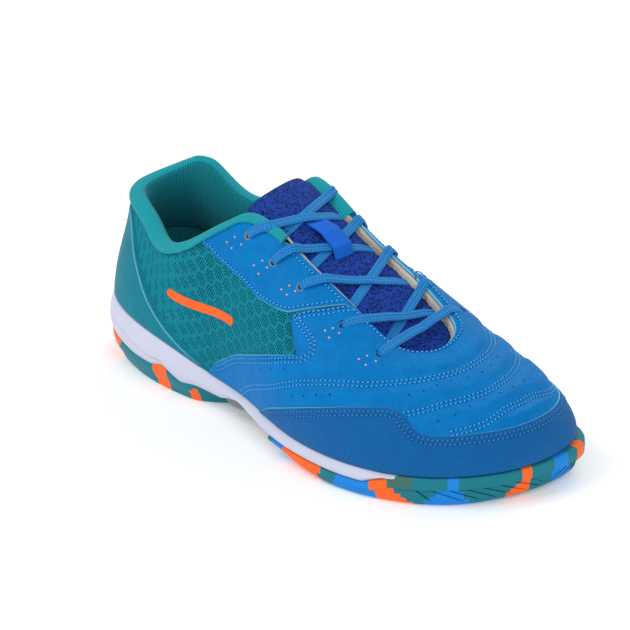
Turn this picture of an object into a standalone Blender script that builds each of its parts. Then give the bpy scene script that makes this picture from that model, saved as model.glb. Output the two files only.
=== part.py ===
# Indoor soccer shoe for the right foot, empty and standing on its sole.
# Toe towards +X, outer side towards -Y, +Z up. The origin is under the middle of its bounding box.
import bmesh
import bpy
import numpy as np

# Driving sizes in metres
UPPER_LENGTH = 0.266  # heel to toe along the bite line, where the upper meets the sole
HALF_WIDTH = 0.050  # unit of the widths, about half of the ball
HEEL_STACK = 0.032  # height of the bite line at the heel
UPPER_RISE = 0.085  # unit of the upper's heights above the bite line
UPPER_WALL = 0.002
OVERLAY_LEATHER = 0.0011
OVERLAY_SUEDE = 0.0013
COUNTER_THICK = 0.0009
CLEARANCE = 0.0003
SOLE_LEDGE = 0.0024  # how far the sole stands out past the upper
HEEL_UNDERCUT = 0.004  # how far the tread's edge lies inside the bite line at the heel
FOREFOOT_UNDERCUT = 0.002
RUBBER_RIM = 0.0046  # thickness of the toe bumper
FIN_DEPTH = 0.0010
FIN_SLANT = 0.4  # how far round the foot a fin runs on its way down, in stations
GROOVE_DEPTH = 0.0016
GROOVE_WIDTH = 0.0028
TREAD_MARGIN = 0.007  # from the tread's edge to the ends of its grooves
LINING_THICK = 0.0050
LINING_DEPTH = 0.030
COLLAR_ROLL = 0.0045  # height of the padded roll over the wall's edge
TONGUE_THICK = 0.0042
TONGUE_REACH = 0.014  # how far the tongue stands past the top eyelets
FACING_LINING = 0.0012
INSOLE_THICK = 0.0035
EYELET_RADIUS = 0.0021
EYELET_SIDES = 10
LACE_WIDTH = 0.0048
LACE_THICK = 0.0018
KEEPER_WIDTH = 0.012
KEEPER_THICK = 0.001
GROOVE_BEND = 0.006  # how far a groove's middle stands towards the toe
BAND_ROUND = 0.0009  # the small slope at the top of the forefoot's band
FOAM_BULGE = 0.0009  # how far the foam's side swells past the ledge
FOAM_TUCK = 0.0036  # how far the foam's underside lies inside its side
PLATE_INSET = 0.0012  # how far the arch plate's side lies inside the ledge
INSOLE_ROUND = 0.0006
LACE_RISE = 0.0012  # how far the lace's crossings lie above the tongue
BAR_BOW = 0.18  # how far the lace's lowest bar bends towards the toe, in stations
CUT_INSIDE = 0.0015  # how far an outline's prism reaches inside the wall, and outside it
CUT_OUTSIDE = 0.0045
HOLE_REACH = 0.006  # half the length of an eyelet's cutter

# The last, a row for each section round the foot. bite is where the wall meets the sole and edge is where it
# ends at the collar or the throat. x is a share of UPPER_LENGTH, y of HALF_WIDTH and bite_z of HEEL_STACK.
# edge_rise is the height above the bite line, and the four handles bend the wall between the two: all shares
# of UPPER_RISE. ledge is a share of SOLE_LEDGE.
LAST_COLUMNS = ("bite_x", "bite_y", "bite_z", "edge_x", "edge_y", "edge_rise",
                "low_out", "low_up", "high_out", "high_drop", "ledge")
LAST = {
    "heel_back": (0.000, 0.00, 1.00, 0.045, 0.00, 0.650, 0.060, 0.26, -0.010, 0.235, 1.0),
    "heel_outer": (0.030, -0.36, 0.98, 0.070, -0.32, 0.640, 0.055, 0.26, -0.005, 0.235, 1.0),
    "heel_outer_front": (0.117, -0.64, 0.92, 0.140, -0.50, 0.595, 0.047, 0.21, -0.010, 0.210, 1.0),
    "ankle_outer": (0.237, -0.74, 0.80, 0.214, -0.64, 0.545, 0.047, 0.165, 0.000, 0.165, 1.0),
    "arch_outer": (0.353, -0.74, 0.61, 0.305, -0.66, 0.735, 0.047, 0.21, 0.035, 0.210, 1.0),
    "mid_outer": (0.474, -0.84, 0.56, 0.414, -0.52, 0.965, 0.070, 0.235, 0.118, 0.235, 1.0),
    "ball_outer": (0.617, -1.06, 0.50, 0.530, -0.44, 0.850, 0.070, 0.21, 0.188, 0.165, 1.0),
    "fore_outer": (0.760, -1.09, 0.455, 0.647, -0.38, 0.665, 0.070, 0.19, 0.224, 0.118, 1.0),
    "toe_outer": (0.891, -0.85, 0.455, 0.730, -0.30, 0.500, 0.070, 0.19, 0.212, 0.094, 1.0),
    "toe_corner_outer": (0.970, -0.38, 0.47, 0.771, -0.16, 0.455, 0.070, 0.20, 0.330, 0.094, 1.0),
    "toe_tip": (1.000, 0.22, 0.50, 0.788, 0.07, 0.460, 0.070, 0.20, 0.388, 0.100, 1.3),
    "toe_corner_inner": (0.981, 0.68, 0.56, 0.774, 0.27, 0.482, 0.060, 0.165, 0.306, 0.118, 1.9),
    "toe_inner": (0.902, 0.86, 0.59, 0.733, 0.36, 0.525, 0.065, 0.165, 0.235, 0.112, 1.5),
    "ball_inner": (0.760, 0.93, 0.58, 0.650, 0.41, 0.640, 0.070, 0.19, 0.218, 0.118, 1.0),
    "mid_inner": (0.617, 0.83, 0.62, 0.530, 0.41, 0.790, 0.070, 0.235, 0.200, 0.165, 1.0),
    "arch_inner": (0.470, 0.70, 0.72, 0.387, 0.49, 0.940, 0.070, 0.26, 0.141, 0.260, 1.0),
    "waist_inner": (0.342, 0.64, 0.84, 0.320, 0.66, 0.720, 0.047, 0.19, 0.035, 0.190, 1.0),
    "ankle_inner": (0.226, 0.64, 0.94, 0.211, 0.64, 0.540, 0.035, 0.155, 0.000, 0.155, 1.0),
    "heel_inner_front": (0.105, 0.58, 0.97, 0.117, 0.56, 0.660, 0.047, 0.21, -0.020, 0.210, 1.0),
    "heel_inner": (0.023, 0.36, 0.98, 0.064, 0.36, 0.675, 0.060, 0.26, -0.015, 0.235, 1.0),
}
STATIONS = len(LAST)
HALF = STATIONS // 2
STEPS_PER_STATION = 3
WALL_ROWS = 7

# The sole's side from heel to toe: x as a share of UPPER_LENGTH, heights as shares of HEEL_STACK
WHITE_EDGE = ((0.00, 0.42), (0.09, 0.41), (0.16, 0.36), (0.205, 0.35), (0.237, 0.41), (0.265, 0.32),
              (0.29, 0.265), (0.33, 0.315), (0.36, 0.31), (0.385, 0.31), (0.42, 0.38), (0.46, 0.42),
              (0.50, 0.36), (0.54, 0.31), (0.60, 0.29), (0.67, 0.28), (0.77, 0.25), (0.815, 0.25),
              (0.835, 0.31), (0.862, 0.39), (0.885, 0.46))
HEEL_TOP = ((0.355, 0.31), (0.385, 0.265), (0.41, 0.19), (0.44, 0.09))
ARCH_UNDERSIDE = ((0.395, 0.29), (0.42, 0.22), (0.445, 0.24), (0.48, 0.30), (0.52, 0.255), (0.56, 0.235),
                  (0.60, 0.215))
MIDSOLE_CORE = ((0.0, 0.2), (0.38, 0.2), (0.42, 0.28), (0.46, 0.33), (0.50, 0.30), (0.56, 0.26), (0.62, 0.22),
                (0.76, 0.15), (1.0, 0.15))
SEAT = ((0.60, 0.29), (0.77, 0.25), (0.90, 0.24), (1.00, 0.27))  # the forefoot rubber's face under the foam
TREAD = ((0.00, 0.05), (0.05, 0.00), (0.40, 0.00), (0.44, 0.03), (0.60, 0.17), (0.66, 0.08), (0.72, 0.02),
         (0.76, 0.00), (0.93, 0.00), (1.00, 0.05))
HEEL_END = 4.72  # station where the heel's rubber ends on the outer side
ARCH_SPAN = (4.32, 5.62)
FOREFOOT_START = 5.68
HEEL_GROOVES = (0.07, 0.13, 0.19, 0.25, 0.31)  # places of the tread's grooves, as shares of UPPER_LENGTH
FOREFOOT_GROOVES = (0.70, 0.745, 0.79, 0.835, 0.88, 0.925)
FINS = (7.35, 12.65)  # stations between which the side has fins
FIN_RAMP = 0.5  # stations over which the fins reach their full depth at either end
FIN_GROOVE = (0.0, 0.12, 0.88)  # the groove's floor and the fin's two edges, as shares of a column's width

# The sides of the sole in section, a row for each step up. undercut, ledge and rise are shares of the
# undercut, of the ledge and of the height from the tread to the top.
HEEL_SIDE = ((1.0, 0.00, 0.00), (0.3, 0.00, 0.35), (0.0, 0.85, 0.80), (0.0, 0.80, 1.00))
FOAM_SIDE = ((-1.1, 0.0), (1.0, 0.4), (0.8, 0.75), (-1.1, 1.0))  # bulge as a share of FOAM_BULGE, then rise
FOAM_END = 0.905  # share of the length where the foam has gone behind the toe bumper
FOAM_THIN = 0.002  # least height of the foam's side
FOREFOOT_NOTCH = 0.58  # share of the height where the fins start, under the smooth band
FOREFOOT_FOOT = 0.18  # share of the height where the tread's edge has rounded into the side

# Outlines on the wall: stations round the foot and shares of the way up it
FOOT_MARGIN = 0.010  # how far the overlays stop above the bite line, as a share of the wall's height
GUARD_REAR = ((5.42, FOOT_MARGIN), (5.75, 0.12), (6.1, 0.20), (6.6, 0.30))
GUARD_SIDE = ((6.6, 0.30), (7.1, 0.39))
GUARD_FRONT = ((7.1, 0.39), (7.5, 0.45), (7.85, 0.49), (7.98, 0.48), (8.08, 0.42), (8.2, 0.365), (8.4, 0.35),
               (9.1, 0.365), (10.0, 0.365))
WING_TIP = ((4.05, FOOT_MARGIN), (4.34, 0.15), (4.77, 0.24))
WING_REAR = ((4.77, 0.24), (5.39, 0.33), (6.31, 0.505), (6.52, 0.55), (6.59, 0.59))
WING_NOTCH = ((6.59, 0.59), (6.50, 0.62), (6.30, 0.65), (6.24, 0.68), (6.37, 0.745), (6.7, 0.86), (7.02, 1.0))
EYESTAY_LOW = ((4.13, 1.0), (4.28, 0.88), (4.66, 0.73), (5.15, 0.64), (5.51, 0.615), (5.81, 0.635),
               (6.03, 0.67), (6.51, 0.80), (6.93, 1.0))
EDGE_MARGIN = 0.03  # how far the outlines run past the wall's edge, as a share of its height
SEAM = 0.006  # the gap between neighbouring overlays, as a share of the wall's height
COUNTER_TOP = ((0.0, 0.83), (0.6, 0.83), (1.19, 0.80), (1.79, 0.57), (2.31, 0.42), (2.74, 0.28), (3.16, 0.14),
               (3.55, 0.05), (3.9, FOOT_MARGIN))
EYELETS = ((5.18, 0.865), (5.74, 0.83), (6.27, 0.845), (7.03, 0.83), (7.75, 0.82))  # from the top down
THROAT_FRONT = 9.35  # station where the tongue starts under the vamp
TONGUE_TOP = 5.25
KEEPER_SPAN = (5.68, 6.36)
COLLAR_END = 5.45

# The collar's padded roll in section, from the wall's outer face over to the inside: how far out, then how
# high as a share of the roll. ROLL_INSIDE is measured from the wall's inner face.
ROLL_OUTSIDE = ((0.0003, 0.4), (-0.0012, 0.85), (-0.0030, 1.0))
ROLL_INSIDE = ((-0.0026, 0.75), (-0.0040, 0.2))
THIN_ROLL = 0.5  # the roll's height along the facings, as a share of the whole
THIN_DEPTH = 0.25  # the lining's depth there, as a share of the whole

# The tongue: stations of its sections from the toe up, places across it, and its rounded tip as shares of
# TONGUE_REACH and of its width
TONGUE_SECTIONS = (THROAT_FRONT, 9.0, 8.5, 8.0, 7.5, 7.0, 6.5, 6.0, 5.6, TONGUE_TOP)
TONGUE_ACROSS = (-1.16, -1.0, -0.7, -0.35, 0.0, 0.35, 0.7, 1.0, 1.16)
TONGUE_TIP = ((0.30, 0.74), (0.65, 0.70), (0.90, 0.60), (1.0, 0.46))

# A lace strand over the throat: share of the way to the lower eyelets, and place across the tongue;
STRAND = ((0.55, 0.5), (1.0, 0.0), (1.40, -0.5), (1.66, -0.84))
# and on the facing: share of the wall and extra lift, where the first share counts from the eyelet
STRAND_START = ((0.045, 0.0), (0.97, 0.0003), (1.01, 0.0002))

MATERIALS = {  # colour, roughness
    "teal_rubber": ((0.00, 0.16, 0.21), 0.6),
    "grey_plastic": ((0.22, 0.22, 0.21), 0.5),
    "white_foam": ((0.68, 0.68, 0.78), 0.6),
    "teal_mesh": ((0.01, 0.22, 0.28), 0.85),
    "blue_suede": ((0.01, 0.11, 0.36), 0.9),
    "blue_leather": ((0.00, 0.19, 0.62), 0.5),
    "teal_leather": ((0.01, 0.24, 0.32), 0.5),
    "teal_knit": ((0.01, 0.34, 0.40), 0.9),
    "navy_mesh": ((0.01, 0.04, 0.36), 0.85),
    "blue_webbing": ((0.00, 0.10, 0.66), 0.7),
    "blue_cord": ((0.03, 0.24, 0.67), 0.8),
    "dark_foam": ((0.01, 0.07, 0.09), 0.9),
}


def material(name):
    colour, roughness = MATERIALS[name]
    made = bpy.data.materials.get(name) or bpy.data.materials.new(name)
    made.use_nodes = True
    shader = made.node_tree.nodes["Principled BSDF"]
    shader.inputs["Base Color"].default_value = (*colour, 1.0)
    shader.inputs["Roughness"].default_value = roughness
    shader.inputs["Metallic"].default_value = 0.0
    return made


def add_object(name, points, faces, finish=None):
    """An object from points in metres; without a finish it is a cutter."""
    mesh = bpy.data.meshes.new(name)
    mesh.from_pydata([tuple(map(float, p)) for p in points], [], faces)
    shape = bmesh.new()
    shape.from_mesh(mesh)
    bmesh.ops.remove_doubles(shape, verts=shape.verts, dist=1e-6)
    bmesh.ops.recalc_face_normals(shape, faces=shape.faces)
    shape.to_mesh(mesh)
    shape.free()
    made = bpy.data.objects.new(name, mesh)
    bpy.context.collection.objects.link(made)
    if finish:
        mesh.materials.append(material(finish))
        mesh.shade_smooth()
        mesh.set_sharp_from_angle(angle=0.6)
    else:
        made.hide_render = True
        made.display_type = "WIRE"
    return made


def combine(target, other, operation, solver="EXACT"):
    step = target.modifiers.new(f"{operation.lower()} {other.name}", "BOOLEAN")
    step.operation = operation
    step.solver = solver
    step.object = other


def unit(vectors):
    return vectors / np.maximum(np.linalg.norm(vectors, axis=-1, keepdims=True), 1e-12)


def curve(rows, at):
    """A smooth curve through short rows of (place, height), flat where neighbours turn back."""
    place, height = np.array(rows, float).T
    step = np.diff(place)
    slope = np.diff(height) / step
    same = slope[:-1] * slope[1:] > 0
    inner = np.where(same, 2 * slope[:-1] * slope[1:] / np.where(same, slope[:-1] + slope[1:], 1), 0)
    ends = np.concatenate([[slope[0]], inner, [slope[-1]]])
    at = np.clip(np.asarray(at, float), place[0], place[-1])
    i = np.clip(np.searchsorted(place, at, side="right") - 1, 0, len(step) - 1)
    t = (at - place[i]) / step[i]
    return ((2 * t**3 - 3 * t**2 + 1) * height[i] + (t**3 - 2 * t**2 + t) * step[i] * ends[i]
            + (3 * t**2 - 2 * t**3) * height[i + 1] + (t**3 - t**2) * step[i] * ends[i + 1])


def along(rows, count):
    """Points spaced evenly along an outline given as (station, share) rows."""
    rows = np.array(rows, float)
    scale = np.array([1.0, 3.0])  # a station is about as long as a third of the wall
    length = np.concatenate([[0], np.cumsum(np.linalg.norm(np.diff(rows * scale, axis=0), axis=1))])
    share = np.linspace(0, length[-1], count)
    return np.stack([curve(np.stack([length, rows[:, k]], 1), share) for k in (0, 1)], 1)


def mirrored(rows):
    """The same outline on the inner side, in the same order along the foot."""
    return tuple((STATIONS - station, share) for station, share in rows)


def last_columns():
    """The last's table in metres, with the places along the bite line where its rows stand."""
    table = np.array(list(LAST.values()), float)
    unit_of = {"bite_x": UPPER_LENGTH, "bite_y": HALF_WIDTH, "bite_z": HEEL_STACK, "edge_x": UPPER_LENGTH,
               "edge_y": HALF_WIDTH, "ledge": SOLE_LEDGE}
    table = table * np.array([unit_of.get(name, UPPER_RISE) for name in LAST_COLUMNS])
    table[:, 5] += table[:, 2]
    step = np.linalg.norm(np.roll(table[:, :2], -1, 0) - table[:, :2], axis=1)
    return table, step


TABLE, SPACING = last_columns()


def spline_bends():
    """Second derivatives of the closed cubic curve through the table's rows."""
    system = np.zeros((STATIONS, STATIONS))
    right = np.zeros_like(TABLE)
    for i in range(STATIONS):
        before, after = (i - 1) % STATIONS, (i + 1) % STATIONS
        system[i, before] += SPACING[before]
        system[i, i] += 2 * (SPACING[before] + SPACING[i])
        system[i, after] += SPACING[i]
        rise = (TABLE[after] - TABLE[i]) / SPACING[i]
        right[i] = 6 * (rise - (TABLE[i] - TABLE[before]) / SPACING[before])
    return np.linalg.solve(system, right)


BENDS = spline_bends()


def section(station):
    """All columns of the last at a place between the rows."""
    station = np.asarray(station, float) % STATIONS
    i = np.floor(station).astype(int) % STATIONS
    j = (i + 1) % STATIONS
    b = (station - np.floor(station))[..., None]
    a = 1 - b
    bend = ((a**3 - a) * BENDS[i] + (b**3 - b) * BENDS[j]) * SPACING[i][..., None] ** 2 / 6
    return a * TABLE[i] + b * TABLE[j] + bend


def outward(station):
    """The horizontal direction away from the foot at the bite line."""
    step = 0.01
    run = (section(station + step) - section(station - step))[..., :2]
    return unit(np.stack([run[..., 1], -run[..., 0], np.zeros_like(run[..., 0])], -1))


def wall_point(station, share):
    """A point of the upper's outer face, from the bite line at share 0 to its edge at share 1."""
    row = section(station)
    out = outward(station)
    rise = np.array([0.0, 0.0, 1.0])
    bite, edge = row[..., 0:3], row[..., 3:6]
    low = bite + out * row[..., 6:7] + rise * row[..., 7:8]
    high = edge + out * row[..., 8:9] - rise * row[..., 9:10]
    t = np.asarray(share, float)[..., None]
    return (1 - t) ** 3 * bite + 3 * (1 - t) ** 2 * t * low + 3 * (1 - t) * t**2 * high + t**3 * edge


def wall_normal(station, share):
    round_step, up_step = 0.02, 0.01
    across = wall_point(station + round_step, share) - wall_point(station - round_step, share)
    up = wall_point(station, share + up_step) - wall_point(station, share - up_step)
    return unit(np.cross(across, up))


def wall(station, share, lift=0.0):
    """The upper's surface, moved outwards by lift."""
    given = (np.asarray(value, float) for value in (station, share, lift))
    station, share, lift = np.broadcast_arrays(*given)
    return wall_point(station, share) + wall_normal(station, share) * lift[..., None]


def grid_solid(inner, outer, closed):
    """Points and triangles of the slab between two equal grids. A closed one runs round the foot."""
    columns, rows = outer.shape[:2]
    points = np.concatenate([outer.reshape(-1, 3), inner.reshape(-1, 3)])
    shift = columns * rows
    faces = []
    spans = columns if closed else columns - 1
    for i in range(spans):
        j = (i + 1) % columns
        for k in range(rows - 1):
            a, b, c, d = i * rows + k, j * rows + k, j * rows + k + 1, i * rows + k + 1
            for triangle in ((a, b, c), (a, c, d)):
                faces.append(triangle)
                faces.append(tuple(shift + n for n in reversed(triangle)))
        for k in (0, rows - 1):
            faces.append((i * rows + k, j * rows + k, shift + j * rows + k, shift + i * rows + k))
    if not closed:
        for i in (0, columns - 1):
            for k in range(rows - 1):
                faces.append((i * rows + k, i * rows + k + 1, shift + i * rows + k + 1, shift + i * rows + k))
    return points, faces


def loop_stations(first=0.0, last=None):
    """The wall's columns, all round or between two stations."""
    if last is None:
        return np.arange(STATIONS * STEPS_PER_STATION) / STEPS_PER_STATION
    apart = 0.2  # least distance of a column from the two ends, as a share of a step
    inner = np.arange(np.ceil(first * STEPS_PER_STATION + apart), last * STEPS_PER_STATION - apart)
    return np.concatenate([[first], inner / STEPS_PER_STATION, [last]])


def collar_drop(station):
    """How far the wall's edge lies under the padded roll, as a share of the wall's height."""
    drop, past, ramp = 0.075, 0.15, 0.9
    from_heel = np.minimum(station % STATIONS, STATIONS - station % STATIONS)
    return drop * np.clip((COLLAR_END + past - from_heel) / ramp, 0, 1)


def wall_grid(low_lift, high_lift):
    station = loop_stations()
    share = np.linspace(0, 1, WALL_ROWS + 1)[None, :] * (1 - collar_drop(station)[:, None])
    station = np.repeat(station[:, None], WALL_ROWS + 1, 1)
    return wall(station, share, low_lift), wall(station, share, high_lift)


def make_upper():
    inner, outer = wall_grid(-UPPER_WALL, 0.0)
    return add_object("upper", *grid_solid(inner, outer, True), "teal_mesh")


def overlay(name, parts, thick, finish, rows=5):
    """A piece laid on the wall, cut from a larger shell by the prism between outlines. Each of its parts has
    a low outline, a high one and the number of columns between them."""
    inner, outer = wall_grid(CLEARANCE, CLEARANCE + thick)
    made = add_object(name, *grid_solid(inner, outer, True), finish)
    low = np.concatenate([along(part[0], part[2]) for part in parts])
    high = np.concatenate([along(part[1], part[2]) for part in parts])
    moved = np.abs(np.diff(low, axis=0)).sum(1) + np.abs(np.diff(high, axis=0)).sum(1)
    distinct = np.concatenate([[True], moved > 1e-6])
    low, high = low[distinct], high[distinct]
    share = np.linspace(0, 1, rows)[None, :, None]
    outline = low[:, None] * (1 - share) + high[:, None] * share
    deep = wall(outline[..., 0], outline[..., 1], -CUT_INSIDE)
    proud = wall(outline[..., 0], outline[..., 1], CUT_OUTSIDE)
    cutter = add_object(name + "_outline", *grid_solid(deep, proud, False))
    combine(made, cutter, "INTERSECT")
    return made


def eyelet_places():
    for rows in (EYELETS, mirrored(EYELETS)):
        for station, share in rows:
            yield station, share


def punch_eyelets(targets):
    """Ten round holes through the wall and what lies on it."""
    points, faces = [], []
    for station, share in eyelet_places():
        centre = wall(station, share)
        axis = wall_normal(np.array(station), np.array(share))
        side = unit(np.cross(axis, [0.0, 0.0, 1.0]))
        other = np.cross(axis, side)
        first = len(points)
        for reach in (-HOLE_REACH, HOLE_REACH):
            for k in range(EYELET_SIDES):
                turn = 2 * np.pi * k / EYELET_SIDES
                spoke = side * np.cos(turn) + other * np.sin(turn)
                points.append(centre + axis * reach + EYELET_RADIUS * spoke)
        faces.append(tuple(range(first, first + EYELET_SIDES)))
        faces.append(tuple(range(first + EYELET_SIDES, first + 2 * EYELET_SIDES)))
        for k in range(EYELET_SIDES):
            after = (k + 1) % EYELET_SIDES
            faces.append((first + k, first + after, first + EYELET_SIDES + after, first + EYELET_SIDES + k))
    cutter = add_object("eyelet_holes", points, faces)
    for target in targets:
        combine(target, cutter, "DIFFERENCE")


def length_share(station):
    return section(station)[..., 0] / UPPER_LENGTH


def height(rows, station):
    return HEEL_STACK * curve(rows, length_share(station))


def side_point(station, out, level):
    """A point of the sole's side, out past the bite line at a height above the floor."""
    station = np.asarray(station, float)
    point = section(station)[..., 0:3] + outward(station) * np.asarray(out)[..., None]
    point[..., 2] = level
    return point


def layer(columns, closed):
    """Points and faces of a slab whose side is a grid of columns, each from the underside up to the top.
    Columns face each other across the foot, so both faces are ladders with a rung for each pair."""
    count, rows = columns.shape[:2]
    points = list(columns.reshape(-1, 3))
    faces = []
    for i in range(count if closed else count - 1):
        j = (i + 1) % count
        for k in range(rows - 1):
            faces.append((i * rows + k, j * rows + k, j * rows + k + 1, i * rows + k + 1))
    pair = (lambda i: (count - i) % count) if closed else (lambda i: count - 1 - i)
    rungs = range(count // 2 + 1) if closed else range((count + 1) // 2)
    for k in (0, rows - 1):
        for i in rungs[:-1]:
            corners = [i * rows + k, (i + 1) * rows + k, pair(i + 1) * rows + k, pair(i) * rows + k]
            faces.append(tuple(dict.fromkeys(corners)))
    if not closed:
        last = count - 1
        for k in range(rows - 1):
            faces.append((k, k + 1, last * rows + k + 1, last * rows + k))
    return points, faces


def ledge(station):
    return section(station)[..., 10]


def undercut(station):
    """How far the tread's edge lies inside the bite line: most at the heel, less in front of it."""
    at_heel = np.clip(2 - length_share(station) * 8, 0, 1)
    return -(FOREFOOT_UNDERCUT + (HEEL_UNDERCUT - FOREFOOT_UNDERCUT) * at_heel)


def grown(grow):
    """A length as stations, for the ends of a grown cutter."""
    return grow * STATIONS


def make_heel_rubber(grow=0.0):
    """The heel's rubber, from one side round the back to the other. A grown one cuts its seat in the foam."""
    station = loop_stations(STATIONS - HEEL_END - grown(grow), STATIONS + HEEL_END + grown(grow))
    sloping = length_share(station) > HEEL_TOP[0][0]
    slope = np.where(sloping, height(HEEL_TOP, station), HEEL_STACK)
    top = np.minimum(height(WHITE_EDGE, station), slope) + grow
    low = height(TREAD, station)
    rows = []
    for inset, proud, rise in HEEL_SIDE:
        out = undercut(station) * inset + ledge(station) * proud + grow * (rise > 0)
        rows.append(side_point(station, out, low + rise * (top - low)))
    return layer(np.stack(rows, 1), False)


def make_arch_plate(grow=0.0):
    """Two sides joined under the arch: each rung is a flat six-sided section."""
    outer = loop_stations(ARCH_SPAN[0] - grown(grow), ARCH_SPAN[1] + grown(grow))
    points, faces = [], []
    for side in (outer, STATIONS - outer):
        top = height(WHITE_EDGE, side) - CLEARANCE + grow
        low = height(ARCH_UNDERSIDE, side) - grow
        out = ledge(side) * 0.2 + grow
        points += list(side_point(side, out - PLATE_INSET, low))
        points += list(side_point(side, out - PLATE_INSET / 2, top))
    count = len(outer)
    near_low, near_top, far_low, far_top = (k * count for k in range(4))
    for i in range(count - 1):
        for a, b in ((near_low, near_top), (far_top, far_low), (far_low, near_low), (near_top, far_top)):
            faces.append((i + a, i + b, i + 1 + b, i + 1 + a))
    for i in (0, count - 1):
        faces.append((i + near_low, i + far_low, i + far_top, i + near_top))
    return points, faces


def forefoot_columns(grow=0.0, plain=False):
    """The forefoot's rubber: tread, finned side, upper band, rim and seat, for each column."""
    coarse = loop_stations(FOREFOOT_START - grown(grow), STATIONS - FOREFOOT_START + grown(grow))

    def profile(station, slide):
        x = length_share(station)
        white = height(WHITE_EDGE, station) - CLEARANCE
        bite = section(station)[..., 2] - CLEARANCE
        top = np.where(x > WHITE_EDGE[-1][0], bite, np.minimum(white, bite)) + grow
        seat = np.minimum(height(SEAT, station) - CLEARANCE, top - CLEARANCE - grow) + grow
        low_station = station + slide
        low = height(TREAD, low_station)
        out = ledge(station)
        rim = out - RUBBER_RIM - grow
        notch = low + FOREFOOT_NOTCH * (top - low)
        return [side_point(low_station, undercut(low_station), low),
                side_point(low_station, ledge(low_station) * 0.2 + grow, low + FOREFOOT_FOOT * (top - low)),
                side_point(station, out * 0.55 + grow, notch - CLEARANCE),
                side_point(station, out * 0.95 + grow, notch),
                side_point(station, out * 0.95 + grow, top - BAND_ROUND - grow),
                side_point(station, out * 0.75 + grow, top),
                side_point(station, rim, top),
                side_point(station, rim - 2 * CLEARANCE, seat)]

    if plain:
        return np.stack(profile(coarse, 0 * coarse), 1)
    fine, deep = [], []
    for first, last in zip(coarse[:-1], coarse[1:]):
        finned = FINS[0] < (first + last) / 2 < FINS[1]
        for place in FIN_GROOVE if finned else FIN_GROOVE[:1]:
            fine.append(first + place * (last - first))
            deep.append(place == FIN_GROOVE[0])
    fine, deep = np.array(fine + [coarse[-1]]), np.array(deep + [False])
    full = np.clip(np.minimum(fine - FINS[0], FINS[1] - fine) / FIN_RAMP, 0, 1)
    depth = FIN_DEPTH * full * deep
    slide = FIN_SLANT * full
    columns = np.stack(profile(fine, slide), 1)
    straight = np.stack(profile(coarse, 0 * coarse), 1)
    for k in (5, 6, 7):  # what meets the midsole and the upper keeps their facets
        for axis in range(3):
            columns[:, k, axis] = np.interp(fine, coarse, straight[:, k, axis])
    for k in (1, 2):
        columns[:, k] -= outward(fine) * depth[:, None]
    return columns


def make_midsole():
    """White foam over the whole length. The rubbers and the plate are cut out of its underside."""
    station = loop_stations()
    x = length_share(station)
    covered = height(MIDSOLE_CORE, station)
    top = section(station)[..., 2] - CLEARANCE
    white = np.minimum(height(WHITE_EDGE, station), top - FOAM_THIN)
    shows = np.clip((FOAM_END - x) / (FOAM_END - WHITE_EDGE[-2][0]), 0, 1)
    hidden = ledge(station) - RUBBER_RIM + FOAM_BULGE
    out = hidden + (ledge(station) - hidden) * shows
    rows = [side_point(station, out - FOAM_TUCK, covered)]
    for bulge, rise in FOAM_SIDE:
        rows.append(side_point(station, out + bulge * FOAM_BULGE * shows, white + rise * (top - white)))
    return layer(np.stack(rows, 1), True)


def cut_grooves(rubber, places):
    """Grooves across the tread, between its margins, each bent forward in the middle."""
    stations = np.linspace(0, HALF, 400)
    points, faces = [], []
    for place in places:
        side = stations[np.abs(length_share(stations) - place).argmin()]
        ends = [side_point(s, undercut(s) - TREAD_MARGIN, 0.0) for s in (side, STATIONS - side)]
        middle = (ends[0] + ends[1]) / 2 + np.array([GROOVE_BEND, 0.0, 0.0])
        first = len(points)
        for level in (-GROOVE_DEPTH, GROOVE_DEPTH):
            for shift in (-GROOVE_WIDTH / 2, GROOVE_WIDTH / 2):
                for point in (ends[0], middle, ends[1]):
                    points.append((point[0] + shift, point[1], level))
        rows = [[first + 3 * k + n for n in range(3)] for k in range(4)]
        for a, b in ((0, 1), (3, 2), (2, 0), (1, 3)):
            for n in range(2):
                faces.append((rows[a][n], rows[b][n], rows[b][n + 1], rows[a][n + 1]))
        for n in (0, 2):
            faces.append((rows[0][n], rows[1][n], rows[3][n], rows[2][n]))
    combine(rubber, add_object(rubber.name + "_grooves", points, faces), "DIFFERENCE")


def make_sole():
    heel = add_object("outsole_heel", *make_heel_rubber(), "teal_rubber")
    forefoot = add_object("outsole_forefoot", *layer(forefoot_columns(), False), "teal_rubber")
    cut_grooves(heel, HEEL_GROOVES)
    cut_grooves(forefoot, FOREFOOT_GROOVES)
    add_object("arch_plate", *make_arch_plate(), "grey_plastic")
    midsole = add_object("midsole", *make_midsole(), "white_foam")
    cutters = {
        "heel_seat": make_heel_rubber(CLEARANCE),
        "plate_seat": make_arch_plate(2 * CLEARANCE),
        "forefoot_seat": layer(forefoot_columns(CLEARANCE, True), False),
    }
    for name, shape in cutters.items():
        combine(midsole, add_object(name, *shape), "DIFFERENCE", "MANIFOLD")


def make_insole():
    station = loop_stations()
    inside = -(UPPER_WALL + 3 * CLEARANCE)
    low = section(station)[..., 2] + CLEARANCE
    rows = []
    for inset, rise in ((INSOLE_ROUND, 0.0), (0.0, INSOLE_ROUND), (0.0, INSOLE_THICK)):
        rows.append(side_point(station, np.full_like(low, inside - inset), low + rise))
    return add_object("insole", *layer(np.stack(rows, 1), True), "dark_foam")


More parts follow.
